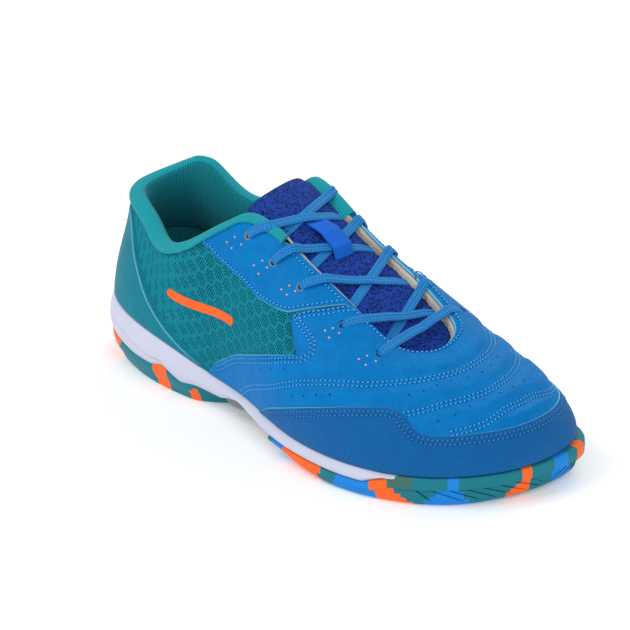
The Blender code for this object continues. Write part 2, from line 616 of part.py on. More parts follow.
def make_collar_lining():
    """Padding inside the collar that rolls over the wall's edge, thinner along the facings."""
    station = loop_stations(STATIONS - COLLAR_END, STATIONS + COLLAR_END)
    edge = 1 - collar_drop(station)
    from_heel = np.abs(station - STATIONS)
    full = np.clip(COLLAR_END - 0.5 - from_heel, 0, 1)[:, None]
    roll = COLLAR_ROLL * (THIN_ROLL + (1 - THIN_ROLL) * full)
    inside = -(UPPER_WALL + 1.5 * CLEARANCE)
    tall = section(station)[..., 5] - section(station)[..., 2]
    deep = edge - (THIN_DEPTH + (1 - THIN_DEPTH) * full[:, 0]) * LINING_DEPTH / tall
    top = wall(station, edge)
    up = unit(top - wall(station, edge - 0.05))
    out = wall_normal(station, edge)
    rows = [top + up * CLEARANCE]
    for shift, lift in ROLL_OUTSIDE:
        rows.append(top + out * shift + up * lift * roll)
    for shift, lift in ROLL_INSIDE:
        pad = shift * full - 0.6 * (1 - full) * FACING_LINING
        rows.append(top + out * (inside + pad) + up * lift * roll)
    for share, thick in ((0.4, LINING_THICK), (0.8, 0.7 * LINING_THICK), (1.0, FACING_LINING)):
        pad = np.maximum(thick * full[:, 0], FACING_LINING)
        rows.append(wall(station, edge + (deep - edge) * share, inside - pad))
    for share in (1.0, 0.7, 0.35, 0.02):
        rows.append(wall(station, edge + (deep - edge) * share, inside))
    rows.append(top + out * inside + up * CLEARANCE)
    ring = np.stack(rows, 1)
    count, size = ring.shape[:2]
    points = list(ring.reshape(-1, 3))
    faces = [tuple(range(size)), tuple(range((count - 1) * size, count * size))]
    for i in range(count - 1):
        for k in range(size):
            after = (k + 1) % size
            faces.append((i * size + k, (i + 1) * size + k, (i + 1) * size + after, i * size + after))
    return add_object("collar_lining", points, faces, "teal_knit")


def tongue_point(pair, across):
    """The tongue's top face. across runs from -1 at the outer facing's edge to 1 at the inner one's, and past
    them the tongue follows the facings' undersides."""
    pair, across = np.broadcast_arrays(np.asarray(pair, float), np.asarray(across, float))
    under = -(UPPER_WALL + FACING_LINING + 2 * CLEARANCE)
    ends, slopes = [], []
    for station in (pair, STATIONS - pair):
        edge = wall(station, 1.0, under)
        ends.append(edge)
        slopes.append(unit(edge - wall(station, 0.97, under)))
    pull = 0.75 * np.linalg.norm(ends[1] - ends[0], axis=-1, keepdims=True)
    t = np.clip((across + 1) / 2, 0, 1)[..., None]
    middle = ((2 * t**3 - 3 * t**2 + 1) * ends[0] + (t**3 - 2 * t**2 + t) * pull * slopes[0]
              + (3 * t**2 - 2 * t**3) * ends[1] - (t**3 - t**2) * pull * slopes[1])
    past = np.maximum(np.abs(across) - 1, 0)
    side = wall(np.where(across < 0, pair, STATIONS - pair), 1 - past, under)
    return np.where(past[..., None] > 0, side, middle)


def over_tongue(pair, across, lift):
    """A place above the tongue and the direction away from it."""
    step = 0.02
    along_foot = tongue_point(pair + step, across) - tongue_point(pair - step, across)
    over = tongue_point(pair, across + step) - tongue_point(pair, across - step)
    up = unit(np.cross(along_foot, over))
    up = up * np.sign(up[..., 2:3])
    return tongue_point(pair, across) + up * lift, up


def face_normals(grid):
    normal = unit(np.cross(np.gradient(grid, axis=1), np.gradient(grid, axis=0)))
    return normal * np.sign(normal[..., 2].mean())


def make_tongue():
    across = np.array(TONGUE_ACROSS)
    top = tongue_point(np.array(TONGUE_SECTIONS)[:, None], across[None, :])
    middle = len(across) // 2
    run = unit(top[-1, middle] - top[-2, middle])
    tip = [tongue_point(TONGUE_TOP, across * width) + run * TONGUE_REACH * reach
           for reach, width in TONGUE_TIP]
    top = np.concatenate([top, np.array(tip)])
    bottom = top - face_normals(top) * TONGUE_THICK
    return add_object("tongue", *grid_solid(bottom, top, False), "navy_mesh")


def smooth_path(points, count):
    """A curve through a few points in space, read at even steps."""
    points = np.array(points, float)
    length = np.concatenate([[0], np.cumsum(np.linalg.norm(np.diff(points, axis=0), axis=1))])
    at = np.linspace(0, length[-1], count)
    slope = np.gradient(points, length, axis=0)
    i = np.clip(np.searchsorted(length, at, side="right") - 1, 0, len(length) - 2)
    step = (length[i + 1] - length[i])[:, None]
    t = (at[:, None] - length[i][:, None]) / step
    return ((2 * t**3 - 3 * t**2 + 1) * points[i] + (t**3 - 2 * t**2 + t) * step * slope[i]
            + (3 * t**2 - 2 * t**3) * points[i + 1] + (t**3 - t**2) * step * slope[i + 1])


def ribbon(points, ups, width, thick, count=11):
    """A flat band along a path, its face turned to the given directions."""
    path, up = smooth_path(points, count), unit(smooth_path(ups, count))
    run = unit(np.gradient(path, axis=0))
    side = unit(np.cross(run, up))
    up = np.cross(side, run)
    turns = ((-1, -1), (1, -1), (1, 1), (-1, 1))
    rings = np.stack([path + side * a * width / 2 + up * b * thick / 2 for a, b in turns], 1)
    faces = [(0, 1, 2, 3), tuple(4 * (count - 1) + k for k in range(4))]
    for i in range(count - 1):
        for k in range(4):
            after = (k + 1) % 4
            faces.append((4 * i + k, 4 * i + after, 4 * i + 4 + after, 4 * i + 4 + k))
    return rings.reshape(-1, 3), faces


def lace_start(pair, inner):
    """The part of a strand on the facing: from just past its eyelet to over the edge."""
    station, share = pair
    station = STATIONS - station if inner else station
    lift = OVERLAY_LEATHER + 3 * CLEARANCE + LACE_THICK / 2
    past = share + STRAND_START[0][0]
    return [(wall(station, at, lift + more), wall_normal(np.array(station), np.array(at)))
            for at, more in ((past, STRAND_START[0][1]), *STRAND_START[1:])]


def lace_middle(pair, across):
    return over_tongue(np.array(pair), np.array(across), LACE_THICK / 2 + LACE_RISE)


def strand(upper_pair, lower_pair, inner):
    """From over one facing's eyelet down to under the other facing, one pair nearer the toe."""
    sign = 1 if inner else -1
    crossing = (upper_pair[0] + lower_pair[0]) / 2
    places = lace_start(upper_pair, inner)
    for share, across in STRAND:
        pair = upper_pair[0] + (crossing - upper_pair[0]) * share
        places.append(lace_middle(pair, sign * across))
    return ribbon([p for p, _ in places], [u for _, u in places], LACE_WIDTH, LACE_THICK)


def make_lace():
    for k in range(len(EYELETS) - 1):
        made = add_object(f"lace_cross_{k + 1}", *strand(EYELETS[k], EYELETS[k + 1], False), "blue_cord")
        other = add_object(f"lace_cross_{k + 1}_over", *strand(EYELETS[k], EYELETS[k + 1], True))
        combine(made, other, "UNION", "MANIFOLD")
    last = EYELETS[-1]
    places = lace_start(last, False) + [lace_middle(last[0] + BAR_BOW, across) for across in (-0.5, 0.0, 0.5)]
    places += lace_start(last, True)[::-1]
    bar = ribbon([p for p, _ in places], [u for _, u in places], LACE_WIDTH, LACE_THICK)
    add_object("lace_bar", *bar, "blue_cord")


def make_keeper():
    """A webbing loop along the tongue with room for the lace under it."""
    first, last = KEEPER_SPAN
    room = 2 * LACE_THICK + LACE_RISE
    low = CLEARANCE + KEEPER_THICK / 2
    rise = 0.10  # stations over which the webbing climbs a step
    rows = ((first, low), (first + rise, room * 0.8), (first + 2 * rise, room), ((first + last) / 2, room),
            (last - 2 * rise, room), (last - rise, room * 0.8), (last, low))
    places = [over_tongue(np.array(pair), np.array(0.0), lift) for pair, lift in rows]
    band = ribbon([p for p, _ in places], [u for _, u in places], KEEPER_WIDTH, KEEPER_THICK, 15)
    add_object("lace_keeper", *band, "blue_webbing")


def make_overlays():
    def above(rows):
        return tuple((station, share + SEAM) for station, share in rows)

    def level(first, last, share):
        return tuple((station, share) for station in np.linspace(first, last, 4))

    def both(parts):
        inner = [(mirrored(low)[::-1], mirrored(high)[::-1], count) for low, high, count in reversed(parts)]
        return list(parts) + inner

    foot, top = FOOT_MARGIN, 1 + EDGE_MARGIN
    guard = [(level(GUARD_REAR[0][0], GUARD_REAR[-1][0], foot), GUARD_REAR, 7),
             (level(GUARD_SIDE[0][0], GUARD_SIDE[-1][0], foot), GUARD_SIDE, 9),
             (level(GUARD_FRONT[0][0], GUARD_FRONT[-1][0], foot), GUARD_FRONT, 16)]
    overlay("toe_guard", both(guard), OVERLAY_SUEDE, "blue_suede")
    wing = [(level(WING_TIP[0][0], GUARD_REAR[0][0], foot), WING_TIP, 5),
            (above(GUARD_REAR), WING_REAR, 7),
            (above(GUARD_SIDE), WING_NOTCH, 9),
            (above(GUARD_FRONT), level(WING_NOTCH[-1][0], HALF, top), 16)]
    vamp = overlay("vamp_overlay", both(wing), OVERLAY_LEATHER, "blue_leather", 8)
    stays = []
    span = level(EYESTAY_LOW[0][0], EYESTAY_LOW[-1][0], top)
    outer_stay = [(EYESTAY_LOW, span, 13)]
    inner_stay = [(mirrored(EYESTAY_LOW)[::-1], mirrored(span)[::-1], 13)]
    for name, parts in (("eyestay_outer", outer_stay), ("eyestay_inner", inner_stay)):
        stays.append(overlay(name, parts, OVERLAY_LEATHER, "blue_leather"))
    counter = [(level(STATIONS - COUNTER_TOP[-1][0], STATIONS, foot), mirrored(COUNTER_TOP)[::-1], 10),
               (level(STATIONS, STATIONS + COUNTER_TOP[-1][0], foot),
                tuple((STATIONS + station, share) for station, share in COUNTER_TOP), 10)]
    overlay("heel_counter", counter, COUNTER_THICK, "teal_leather")
    return [vamp] + stays


def seat_on_origin():
    """Moves every mesh so that the origin is under the middle of the whole."""
    depsgraph = bpy.context.evaluated_depsgraph_get()
    corners = []
    for shown in [o for o in bpy.data.objects if not o.hide_render]:
        mesh = shown.evaluated_get(depsgraph).to_mesh()
        places = np.empty(len(mesh.vertices) * 3)
        mesh.vertices.foreach_get("co", places)
        corners.append(places.reshape(-1, 3))
    corners = np.concatenate(corners)
    low, high = corners.min(axis=0), corners.max(axis=0)
    for moved in bpy.data.objects:
        moved.location = (-(low[0] + high[0]) / 2, -(low[1] + high[1]) / 2, -low[2])


for old in list(bpy.data.objects):
    bpy.data.objects.remove(old)

upper = make_upper()
make_sole()
make_insole()
make_tongue()
make_collar_lining()
punch_eyelets([upper] + make_overlays())
make_keeper()
make_lace()
seat_on_origin()
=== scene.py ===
import math

import bmesh
import bpy
import numpy as np
from mathutils import Matrix, Vector


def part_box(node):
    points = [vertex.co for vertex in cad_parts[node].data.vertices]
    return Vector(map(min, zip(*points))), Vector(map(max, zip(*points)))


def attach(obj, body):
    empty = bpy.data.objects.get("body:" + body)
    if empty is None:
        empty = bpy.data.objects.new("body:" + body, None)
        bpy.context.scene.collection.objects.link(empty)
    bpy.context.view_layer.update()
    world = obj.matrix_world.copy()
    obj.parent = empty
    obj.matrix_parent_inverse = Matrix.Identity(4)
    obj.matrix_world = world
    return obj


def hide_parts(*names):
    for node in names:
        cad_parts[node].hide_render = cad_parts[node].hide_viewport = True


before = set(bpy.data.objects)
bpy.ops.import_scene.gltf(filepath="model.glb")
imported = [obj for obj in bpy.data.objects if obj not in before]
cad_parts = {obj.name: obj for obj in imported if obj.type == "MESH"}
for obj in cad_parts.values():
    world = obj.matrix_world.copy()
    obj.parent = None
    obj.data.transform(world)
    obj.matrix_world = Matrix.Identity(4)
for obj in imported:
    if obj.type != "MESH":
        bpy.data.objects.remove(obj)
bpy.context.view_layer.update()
mm = 0.001
print("frame loaded:", len(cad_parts), "nodes")

# Camera, light and floor

view = {
    "azimuth": 46.0,  # degrees round from the outer side towards the toe
    "elevation": 22.5,
    "distance": 1.7,
    "aim": (0.0, 0.0, 0.05),
    "lensMm": 208.4,
}
studio = {
    "floorSize": 12.0,
    "floorColor": "#F4F5F6",
    "domeColor": "#FFFFFF",
    "floorGlow": 0.21,  # the paper lies on a lit table, so that shadows on it stay pale
    "domeStrength": 0.55,
    # where each soft box hangs, how big it is and its power in watts
    "boxes": (
        ((-0.55, -0.95, 1.25), 0.9, 10.0),
        ((0.95, -0.55, 0.85), 0.7, 4.0),
        ((-0.25, 0.9, 0.9), 0.8, 4.5),
    ),
}


def linearColor(hexColor):
    parts = [int(hexColor[k:k + 2], 16) / 255 for k in (1, 3, 5)]
    return tuple(c / 12.92 if c <= 0.04045 else ((c + 0.055) / 1.055) ** 2.4 for c in parts) + (1.0,)


def makeCamera():
    turn, lift = math.radians(view["azimuth"]), math.radians(view["elevation"])
    back = Vector((math.sin(turn) * math.cos(lift), -math.cos(turn) * math.cos(lift), math.sin(lift)))
    data = bpy.data.cameras.new("camera")
    data.lens = view["lensMm"]
    data.clip_end = 50.0
    camera = bpy.data.objects.new("camera", data)
    camera.location = Vector(view["aim"]) + back * view["distance"]
    camera.rotation_euler = back.to_track_quat("Z", "Y").to_euler()
    bpy.context.scene.collection.objects.link(camera)
    bpy.context.scene.camera = camera


def makeStudio():
    shape = bmesh.new()
    bmesh.ops.create_grid(shape, x_segments=1, y_segments=1, size=studio["floorSize"] / 2)
    mesh = bpy.data.meshes.new("floor")
    shape.to_mesh(mesh)
    shape.free()
    floor = bpy.data.objects.new("floor", mesh)
    paint = bpy.data.materials.new("paleStudioPaper")
    paint.use_nodes = True
    shader = paint.node_tree.nodes["Principled BSDF"]
    shader.inputs["Base Color"].default_value = linearColor(studio["floorColor"])
    shader.inputs["Roughness"].default_value = 0.9
    shader.inputs["Specular IOR Level"].default_value = 0.1
    shader.inputs["Emission Color"].default_value = linearColor(studio["domeColor"])
    shader.inputs["Emission Strength"].default_value = studio["floorGlow"]
    mesh.materials.append(paint)
    bpy.context.scene.collection.objects.link(floor)
    world = bpy.data.worlds.new("softDome")
    world.use_nodes = True
    background = world.node_tree.nodes["Background"]
    background.inputs["Color"].default_value = linearColor(studio["domeColor"])
    background.inputs["Strength"].default_value = studio["domeStrength"]
    bpy.context.scene.world = world
    for place, size, power in studio["boxes"]:
        data = bpy.data.lights.new("softBox", "AREA")
        data.size = size
        data.energy = power
        lamp = bpy.data.objects.new("softBox", data)
        lamp.location = place
        lamp.rotation_euler = Vector(place).to_track_quat("Z", "Y").to_euler()
        bpy.context.scene.collection.objects.link(lamp)
    bpy.context.scene.view_settings.view_transform = "Standard"


makeCamera()
makeStudio()
print("camera and studio made")

# The last: the shape of the foot's form, which every panel of the upper follows

last = {
    "length": 0.266,  # heel to toe along the bite line, where the upper meets the sole
    "halfWidth": 0.050,
    "heelStack": 0.032,
    "rise": 0.085,
    "wall": 0.002,
    "ledge": 0.0024,
}
# One row for each of 20 sections round the foot: the bite line, the edge at the collar or throat, and the
# four handles that bend the wall between them. x is a share of length, y of halfWidth, biteZ of heelStack,
# the rest of rise, and ledge of the sole's ledge.
lastColumns = ("biteX", "biteY", "biteZ", "edgeX", "edgeY", "edgeRise", "lowOut", "lowUp", "highOut",
               "highDrop", "ledge")
lastRows = {
    "heelBack": (0.000, 0.00, 1.00, 0.045, 0.00, 0.650, 0.030, 0.26, -0.010, 0.235, 1.0),
    "heelOuter": (0.030, -0.36, 0.98, 0.070, -0.32, 0.640, -0.010, 0.26, -0.005, 0.235, 1.0),
    "heelOuterFront": (0.117, -0.64, 0.92, 0.140, -0.50, 0.595, -0.005, 0.21, -0.010, 0.210, 1.0),
    "ankleOuter": (0.237, -0.74, 0.80, 0.214, -0.64, 0.545, 0.030, 0.165, 0.000, 0.165, 1.0),
    "archOuter": (0.353, -0.74, 0.61, 0.305, -0.66, 0.735, 0.047, 0.21, 0.035, 0.210, 1.0),
    "midOuter": (0.474, -0.84, 0.56, 0.414, -0.52, 0.965, 0.070, 0.235, 0.118, 0.235, 1.0),
    "ballOuter": (0.617, -1.06, 0.50, 0.530, -0.44, 0.850, 0.070, 0.21, 0.188, 0.165, 1.0),
    "foreOuter": (0.760, -1.09, 0.455, 0.647, -0.38, 0.665, 0.070, 0.19, 0.224, 0.118, 1.0),
    "toeOuter": (0.891, -0.85, 0.455, 0.730, -0.30, 0.500, 0.070, 0.19, 0.212, 0.094, 1.0),
    "toeCornerOuter": (0.970, -0.38, 0.47, 0.771, -0.16, 0.455, 0.070, 0.20, 0.330, 0.094, 1.0),
    "toeTip": (1.000, 0.22, 0.50, 0.788, 0.07, 0.460, 0.070, 0.20, 0.388, 0.100, 1.3),
    "toeCornerInner": (0.981, 0.68, 0.56, 0.774, 0.27, 0.482, 0.060, 0.165, 0.306, 0.118, 1.9),
    "toeInner": (0.902, 0.86, 0.59, 0.733, 0.36, 0.525, 0.065, 0.165, 0.235, 0.112, 1.5),
    "ballInner": (0.760, 0.93, 0.58, 0.650, 0.41, 0.640, 0.070, 0.19, 0.218, 0.118, 1.0),
    "midInner": (0.617, 0.83, 0.62, 0.530, 0.41, 0.790, 0.070, 0.235, 0.200, 0.165, 1.0),
    "archInner": (0.470, 0.70, 0.72, 0.387, 0.49, 0.940, 0.070, 0.26, 0.141, 0.260, 1.0),
    "waistInner": (0.342, 0.64, 0.84, 0.320, 0.66, 0.720, 0.047, 0.19, 0.035, 0.190, 1.0),
    "ankleInner": (0.226, 0.64, 0.94, 0.211, 0.64, 0.540, 0.035, 0.155, 0.000, 0.155, 1.0),
    "heelInnerFront": (0.105, 0.58, 0.97, 0.117, 0.56, 0.660, 0.047, 0.21, -0.020, 0.210, 1.0),
    "heelInner": (0.023, 0.36, 0.98, 0.064, 0.36, 0.675, 0.060, 0.26, -0.015, 0.235, 1.0),
}
stations = len(lastRows)
half = stations // 2


def unit(vectors):
    return vectors / np.maximum(np.linalg.norm(vectors, axis=-1, keepdims=True), 1e-12)


def measuredLast():
    # the table in metres, and the bend of the closed cubic curve that runs through its rows
    table = np.array(list(lastRows.values()), float)
    scale = {"biteX": last["length"], "edgeX": last["length"], "biteY": last["halfWidth"],
             "edgeY": last["halfWidth"], "biteZ": last["heelStack"], "ledge": last["ledge"]}
    table = table * np.array([scale.get(name, last["rise"]) for name in lastColumns])
    table[:, 5] += table[:, 2]
    step = np.linalg.norm(np.roll(table[:, :2], -1, 0) - table[:, :2], axis=1)
    system = np.zeros((stations, stations))
    pull = np.zeros_like(table)
    for i in range(stations):
        before, after = (i - 1) % stations, (i + 1) % stations
        system[i, before] += step[before]
        system[i, i] += 2 * (step[before] + step[i])
        system[i, after] += step[i]
        pull[i] = 6 * ((table[after] - table[i]) / step[i] - (table[i] - table[before]) / step[before])
    return table, step, np.linalg.solve(system, pull)


lastTable, lastStep, lastBend = measuredLast()


def sectionAt(station):
    # a row of the table anywhere round the foot
    station = np.asarray(station, float) % stations
    i = np.floor(station).astype(int) % stations
    j = (i + 1) % stations
    b = (station - np.floor(station))[..., None]
    a = 1 - b
    bend = ((a**3 - a) * lastBend[i] + (b**3 - b) * lastBend[j]) * lastStep[i][..., None] ** 2 / 6
    return a * lastTable[i] + b * lastTable[j] + bend


def outwardAt(station):
    # level, square to the bite line
    run = (sectionAt(station + 0.01) - sectionAt(station - 0.01))[..., :2]
    return unit(np.stack([run[..., 1], -run[..., 0], np.zeros_like(run[..., 0])], -1))


def wallPoint(station, share):
    # a place on the last: share 0 is the bite line and 1 the edge of the collar or throat
    row, out, up = sectionAt(station), outwardAt(station), np.array([0.0, 0.0, 1.0])
    bite, edge = row[..., 0:3], row[..., 3:6]
    low = bite + out * row[..., 6:7] + up * row[..., 7:8]
    high = edge + out * row[..., 8:9] - up * row[..., 9:10]
    t = np.asarray(share, float)[..., None]
    return (1 - t) ** 3 * bite + 3 * (1 - t) ** 2 * t * low + 3 * (1 - t) * t**2 * high + t**3 * edge


def collarDrop(station):
    # the wall stops a little under the collar's padded roll
    fromHeel = np.minimum(station % stations, stations - station % stations)
    return collar["drop"] * np.clip((collar["wallEnd"] + 0.15 - fromHeel) / 0.9, 0, 1)


collar = {
    "drop": 0.075,  # share of the wall left off under the roll
    "wallEnd": 5.45,
    "end": 5.75,
    "roll": 0.0045,
    "thick": 0.0050,
    "depth": 0.030,
    "endDepth": 0.012,
    "edge": 0.0012,
    # how much higher the padding stands than its roll, by stations from the heel (inner side first)
    "raise": ((-4.0, 0.0), (-3.3, 0.0020), (-2.5, 0.0030), (-1.9, 0.0050), (-1.4, 0.0048), (-1.0, 0.0030),
              (-0.5, 0.0012), (0.1, 0.0), (1.0, 0.0)),
}


def lastOrigin():
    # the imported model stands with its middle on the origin, and this finds where the last's own zero went
    station = np.repeat(np.arange(stations * 3)[:, None] / 3, 8, 1)
    share = np.linspace(0, 1, 8)[None, :] * (1 - collarDrop(station))
    places = wallPoint(station, share).reshape(-1, 3)
    low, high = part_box("upper")
    return np.array((high[0] - places[:, 0].max(), low[1] - places[:, 1].min(), low[2] - places[:, 2].min()))


origin = lastOrigin()
print("the last starts at", origin.round(5))


def wallNormal(station, share):
    around = wallPoint(station + 0.02, share) - wallPoint(station - 0.02, share)
    up = wallPoint(station, share + 0.01) - wallPoint(station, share - 0.01)
    return unit(np.cross(around, up))


def onWall(station, share, lift=0.0):
    given = (np.asarray(value, float) for value in (station, share, lift))
    station, share, lift = np.broadcast_arrays(*given)
    return wallPoint(station, share) + wallNormal(station, share) * lift[..., None] + origin


def curveThrough(rows, at):
    # a smooth curve through short rows of (place, height), flat where its neighbours turn back
    place, height = np.array(rows, float).T
    step = np.diff(place)
    slope = np.diff(height) / step
    same = slope[:-1] * slope[1:] > 0
    inner = np.where(same, 2 * slope[:-1] * slope[1:] / np.where(same, slope[:-1] + slope[1:], 1), 0)
    ends = np.concatenate([[slope[0]], inner, [slope[-1]]])
    at = np.clip(np.asarray(at, float), place[0], place[-1])
    i = np.clip(np.searchsorted(place, at, side="right") - 1, 0, len(step) - 1)
    t = (at - place[i]) / step[i]
    return ((2 * t**3 - 3 * t**2 + 1) * height[i] + (t**3 - 2 * t**2 + t) * step[i] * ends[i]
            + (3 * t**2 - 2 * t**3) * height[i + 1] + (t**3 - t**2) * step[i] * ends[i + 1])


def alongOutline(rows, count):
    # points spaced evenly along an outline of (station, share) rows
    rows = np.array(rows, float)
    length = np.concatenate([[0], np.cumsum(np.linalg.norm(np.diff(rows * (1.0, 3.0), axis=0), axis=1))])
    at = np.linspace(0, length[-1], count)
    return np.stack([curveThrough(np.stack([length, rows[:, k]], 1), at) for k in (0, 1)], 1)


def mirrorRows(rows):
    return tuple((stations - station, share) for station, share in reversed(rows))


def levelRows(start, end, share):
    return tuple((station, share) for station in np.linspace(start, end, 4))


# Helpers that make meshes

def addPiece(name, shape, finishes, replaces=(), sharp=0.7):
    mesh = bpy.data.meshes.new(name)
    shape.to_mesh(mesh)
    shape.free()
    mesh.shade_smooth()
    mesh.set_sharp_from_angle(angle=sharp)
    for finish in finishes:
        mesh.materials.append(finish)
    piece = bpy.data.objects.new(name, mesh)
    bpy.context.scene.collection.objects.link(piece)
    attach(piece, "root")
    if replaces:
        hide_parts(*replaces)
    return piece


def gridShape(points, uvMm=None, faceSlots=None, capEnds=False):
    # a flat grid whose vertices move to their places; what meets is welded, so rings and pinched ends close
    columns, rows = points.shape[:2]
    shape = bmesh.new()
    uvLayer = shape.loops.layers.uv.new("surface")
    bmesh.ops.create_grid(shape, x_segments=columns - 1, y_segments=rows - 1, size=0.5)
    places = np.array([vert.co[:2] for vert in shape.verts])
    low, span = places.min(axis=0), np.ptp(places, axis=0)
    index = np.rint((places - low) / span * (columns - 1, rows - 1)).astype(int)
    moved = points[index[:, 0], index[:, 1]].tolist()
    for vert, place in zip(shape.verts, moved):
        vert.co = place
    shape.verts.index_update()
    for face in shape.faces:
        if faceSlots is not None or uvMm is not None:
            corners = [index[vert.index] for vert in face.verts]
        if faceSlots is not None:
            i = min(corner[0] for corner in corners)
            j = min(corner[1] for corner in corners)
            face.material_index = int(faceSlots[i, j])
        if uvMm is not None:
            for loop, corner in zip(face.loops, corners):
                loop[uvLayer].uv = uvMm[corner[0], corner[1]]
    bmesh.ops.remove_doubles(shape, verts=shape.verts, dist=2e-6)
    bmesh.ops.dissolve_degenerate(shape, edges=shape.edges, dist=1e-7)
    if capEnds:
        bmesh.ops.holes_fill(shape, edges=[edge for edge in shape.edges if edge.is_boundary], sides=0)
    return shape


def lengthsAlong(points):
    step = np.linalg.norm(np.diff(points, axis=0), axis=-1)
    return np.concatenate([np.zeros((1,) + step.shape[1:]), np.cumsum(step, axis=0)])


def surfaceUv(points):
    # lengths along both ways of a grid of points, in millimetres
    around = lengthsAlong(points).mean(axis=1)[:, None] + np.zeros(points.shape[:2])
    up = lengthsAlong(points.transpose(1, 0, 2)).T
    return np.stack([around, up], -1) / mm


def roundedRise(distance, radius):
    t = 1 - np.clip(distance / radius, 0, 1)
    return np.sqrt(np.clip(1 - t * t, 0, 1))


def smoothStep(value):
    t = np.clip(value, 0, 1)
    return t * t * (3 - 2 * t)


def nearest(points, targets):
    # distance from each point to the closest of the targets
    flat = points.reshape(-1, 3)
    found = np.concatenate([np.sqrt(((block[:, None] - targets[None]) ** 2).sum(-1)).min(axis=1)
                            for block in np.array_split(flat, max(1, len(flat) // 2000))])
    return found.reshape(points.shape[:-1])


def ruledOutline(parts):
    # the low and high outline of a panel, matched point for point, without repeated ones
    low = np.concatenate([alongOutline(part[0], part[2]) for part in parts])
    high = np.concatenate([alongOutline(part[1], part[2]) for part in parts])
    moved = np.abs(np.diff(low, axis=0)).sum(1) + np.abs(np.diff(high, axis=0)).sum(1)
    keep = np.concatenate([[True], moved > 1e-6])
    return low[keep], high[keep]


def panelShape(parts, rows, base, thick, radius, relief=None, edgeRise=None):
    # a leather panel on the wall: flat below, its top rounded off at the cut edge
    low, high = ruledOutline(parts)
    width = np.linalg.norm(onWall(high[:, 0], high[:, 1]) - onWall(low[:, 0], low[:, 1]), axis=-1)
    offsets = np.array([0.0, 0.06, 0.18, 0.35, 0.6, 1.0, 1.6]) * mm
    squeeze = np.minimum(1, width / (2.4 * offsets[-1]))
    near = offsets[None, :] * squeeze[:, None] / np.maximum(width, 1e-6)[:, None]
    inner = near[:, -1:] + (1 - 2 * near[:, -1:]) * np.linspace(0, 1, rows)[None, 1:-1]
    share = np.concatenate([near, inner, 1 - near[:, ::-1]], axis=1)
    share[width < 1e-6] = 0.5
    outline = low[:, None] * (1 - share[..., None]) + high[:, None] * share[..., None]
    fromEdge = np.minimum(share, 1 - share) * width[:, None]
    lift = base + thick * roundedRise(fromEdge, radius)
    if relief is not None:
        lift = lift + relief(outline[..., 0], outline[..., 1]) * smoothStep(fromEdge / (4 * mm))
    if edgeRise is not None:
        lift = lift + edgeRise(outline, share, width)
    top = onWall(outline[..., 0], outline[..., 1], lift)
    under = np.linspace(share.shape[1] - 1, 0, 7).astype(int)[1:]
    bottom = onWall(outline[:, under, 0], outline[:, under, 1], base)
    points = np.concatenate([top, bottom], axis=1)
    points[:, -1] = points[:, 0]
    points[:, 0] = points[:, -1] = onWall(outline[:, 0, 0], outline[:, 0, 1], base)
    slots = np.zeros((len(low) - 1, points.shape[1] - 1), int)
    slots[:, :3] = 1
    slots[:, share.shape[1] - 4:share.shape[1] - 1] = 1
    return gridShape(points, surfaceUv(points), slots)


def pathPoints(rows, spacing, lift=0.0):
    # an outline on the wall as places at even spacing, with the way it runs and the way out
    fine = alongOutline(rows, 400)
    length = lengthsAlong(onWall(fine[:, 0], fine[:, 1]))
    count = max(2, int(round(length[-1] / spacing)) + 1)
    at = np.interp(np.linspace(0, length[-1], count), length, np.arange(len(fine)))
    rows = np.stack([np.interp(at, np.arange(len(fine)), fine[:, k]) for k in (0, 1)], 1)
    places = onWall(rows[:, 0], rows[:, 1], lift)
    return rows, places, unit(np.gradient(places, axis=0)), wallNormal(rows[:, 0], rows[:, 1])


def offsetRows(rows, distance, count=80):
    # the outline moved sideways on the wall by a real distance, to the left of its run seen from outside
    rows = alongOutline(rows, count)
    run = unit(np.gradient(onWall(rows[:, 0], rows[:, 1]), axis=0))
    side = np.cross(wallNormal(rows[:, 0], rows[:, 1]), run)
    step = 0.01
    around = (onWall(rows[:, 0] + step, rows[:, 1]) - onWall(rows[:, 0] - step, rows[:, 1])) / (2 * step)
    up = (onWall(rows[:, 0], rows[:, 1] + step) - onWall(rows[:, 0], rows[:, 1] - step)) / (2 * step)
    a, b, c = (around * around).sum(-1), (around * up).sum(-1), (up * up).sum(-1)
    p, q = (side * around).sum(-1), (side * up).sum(-1)
    spread = a * c - b * b
    return rows + distance * np.stack([(c * p - b * q) / spread, (a * q - b * p) / spread], -1)


def scattered(template, matrices):
    # one mesh made of a small shape repeated at every matrix
    small = bpy.data.meshes.new("small")
    template.to_mesh(small)
    template.free()
    shape = bmesh.new()
    for matrix in matrices:
        copy = small.copy()
        copy.transform(matrix)
        shape.from_mesh(copy)
        bpy.data.meshes.remove(copy)
    bpy.data.meshes.remove(small)
    return shape


def frameMatrix(place, run, normal):
    side = unit(np.cross(normal, run))
    up = np.cross(run, side)
    matrix = Matrix.Identity(4)
    for k, axis in enumerate((run, side, up, place)):
        for n in range(3):
            matrix[n][k] = float(axis[n])
    return matrix


def tubeShape(path, radius, ups, sides=8, flat=0.8):
    # a flattened tube along places in space, its ends closed
    run = unit(np.gradient(path, axis=0))
    side = unit(np.cross(run, ups))
    up = np.cross(side, run)
    turn = np.linspace(0, -2 * np.pi, sides + 1)[None, :, None]
    ring = path[:, None] + radius * (side[:, None] * np.cos(turn) + up[:, None] * np.sin(turn) * flat)
    return gridShape(ring, surfaceUv(ring), capEnds=True)


# Materials

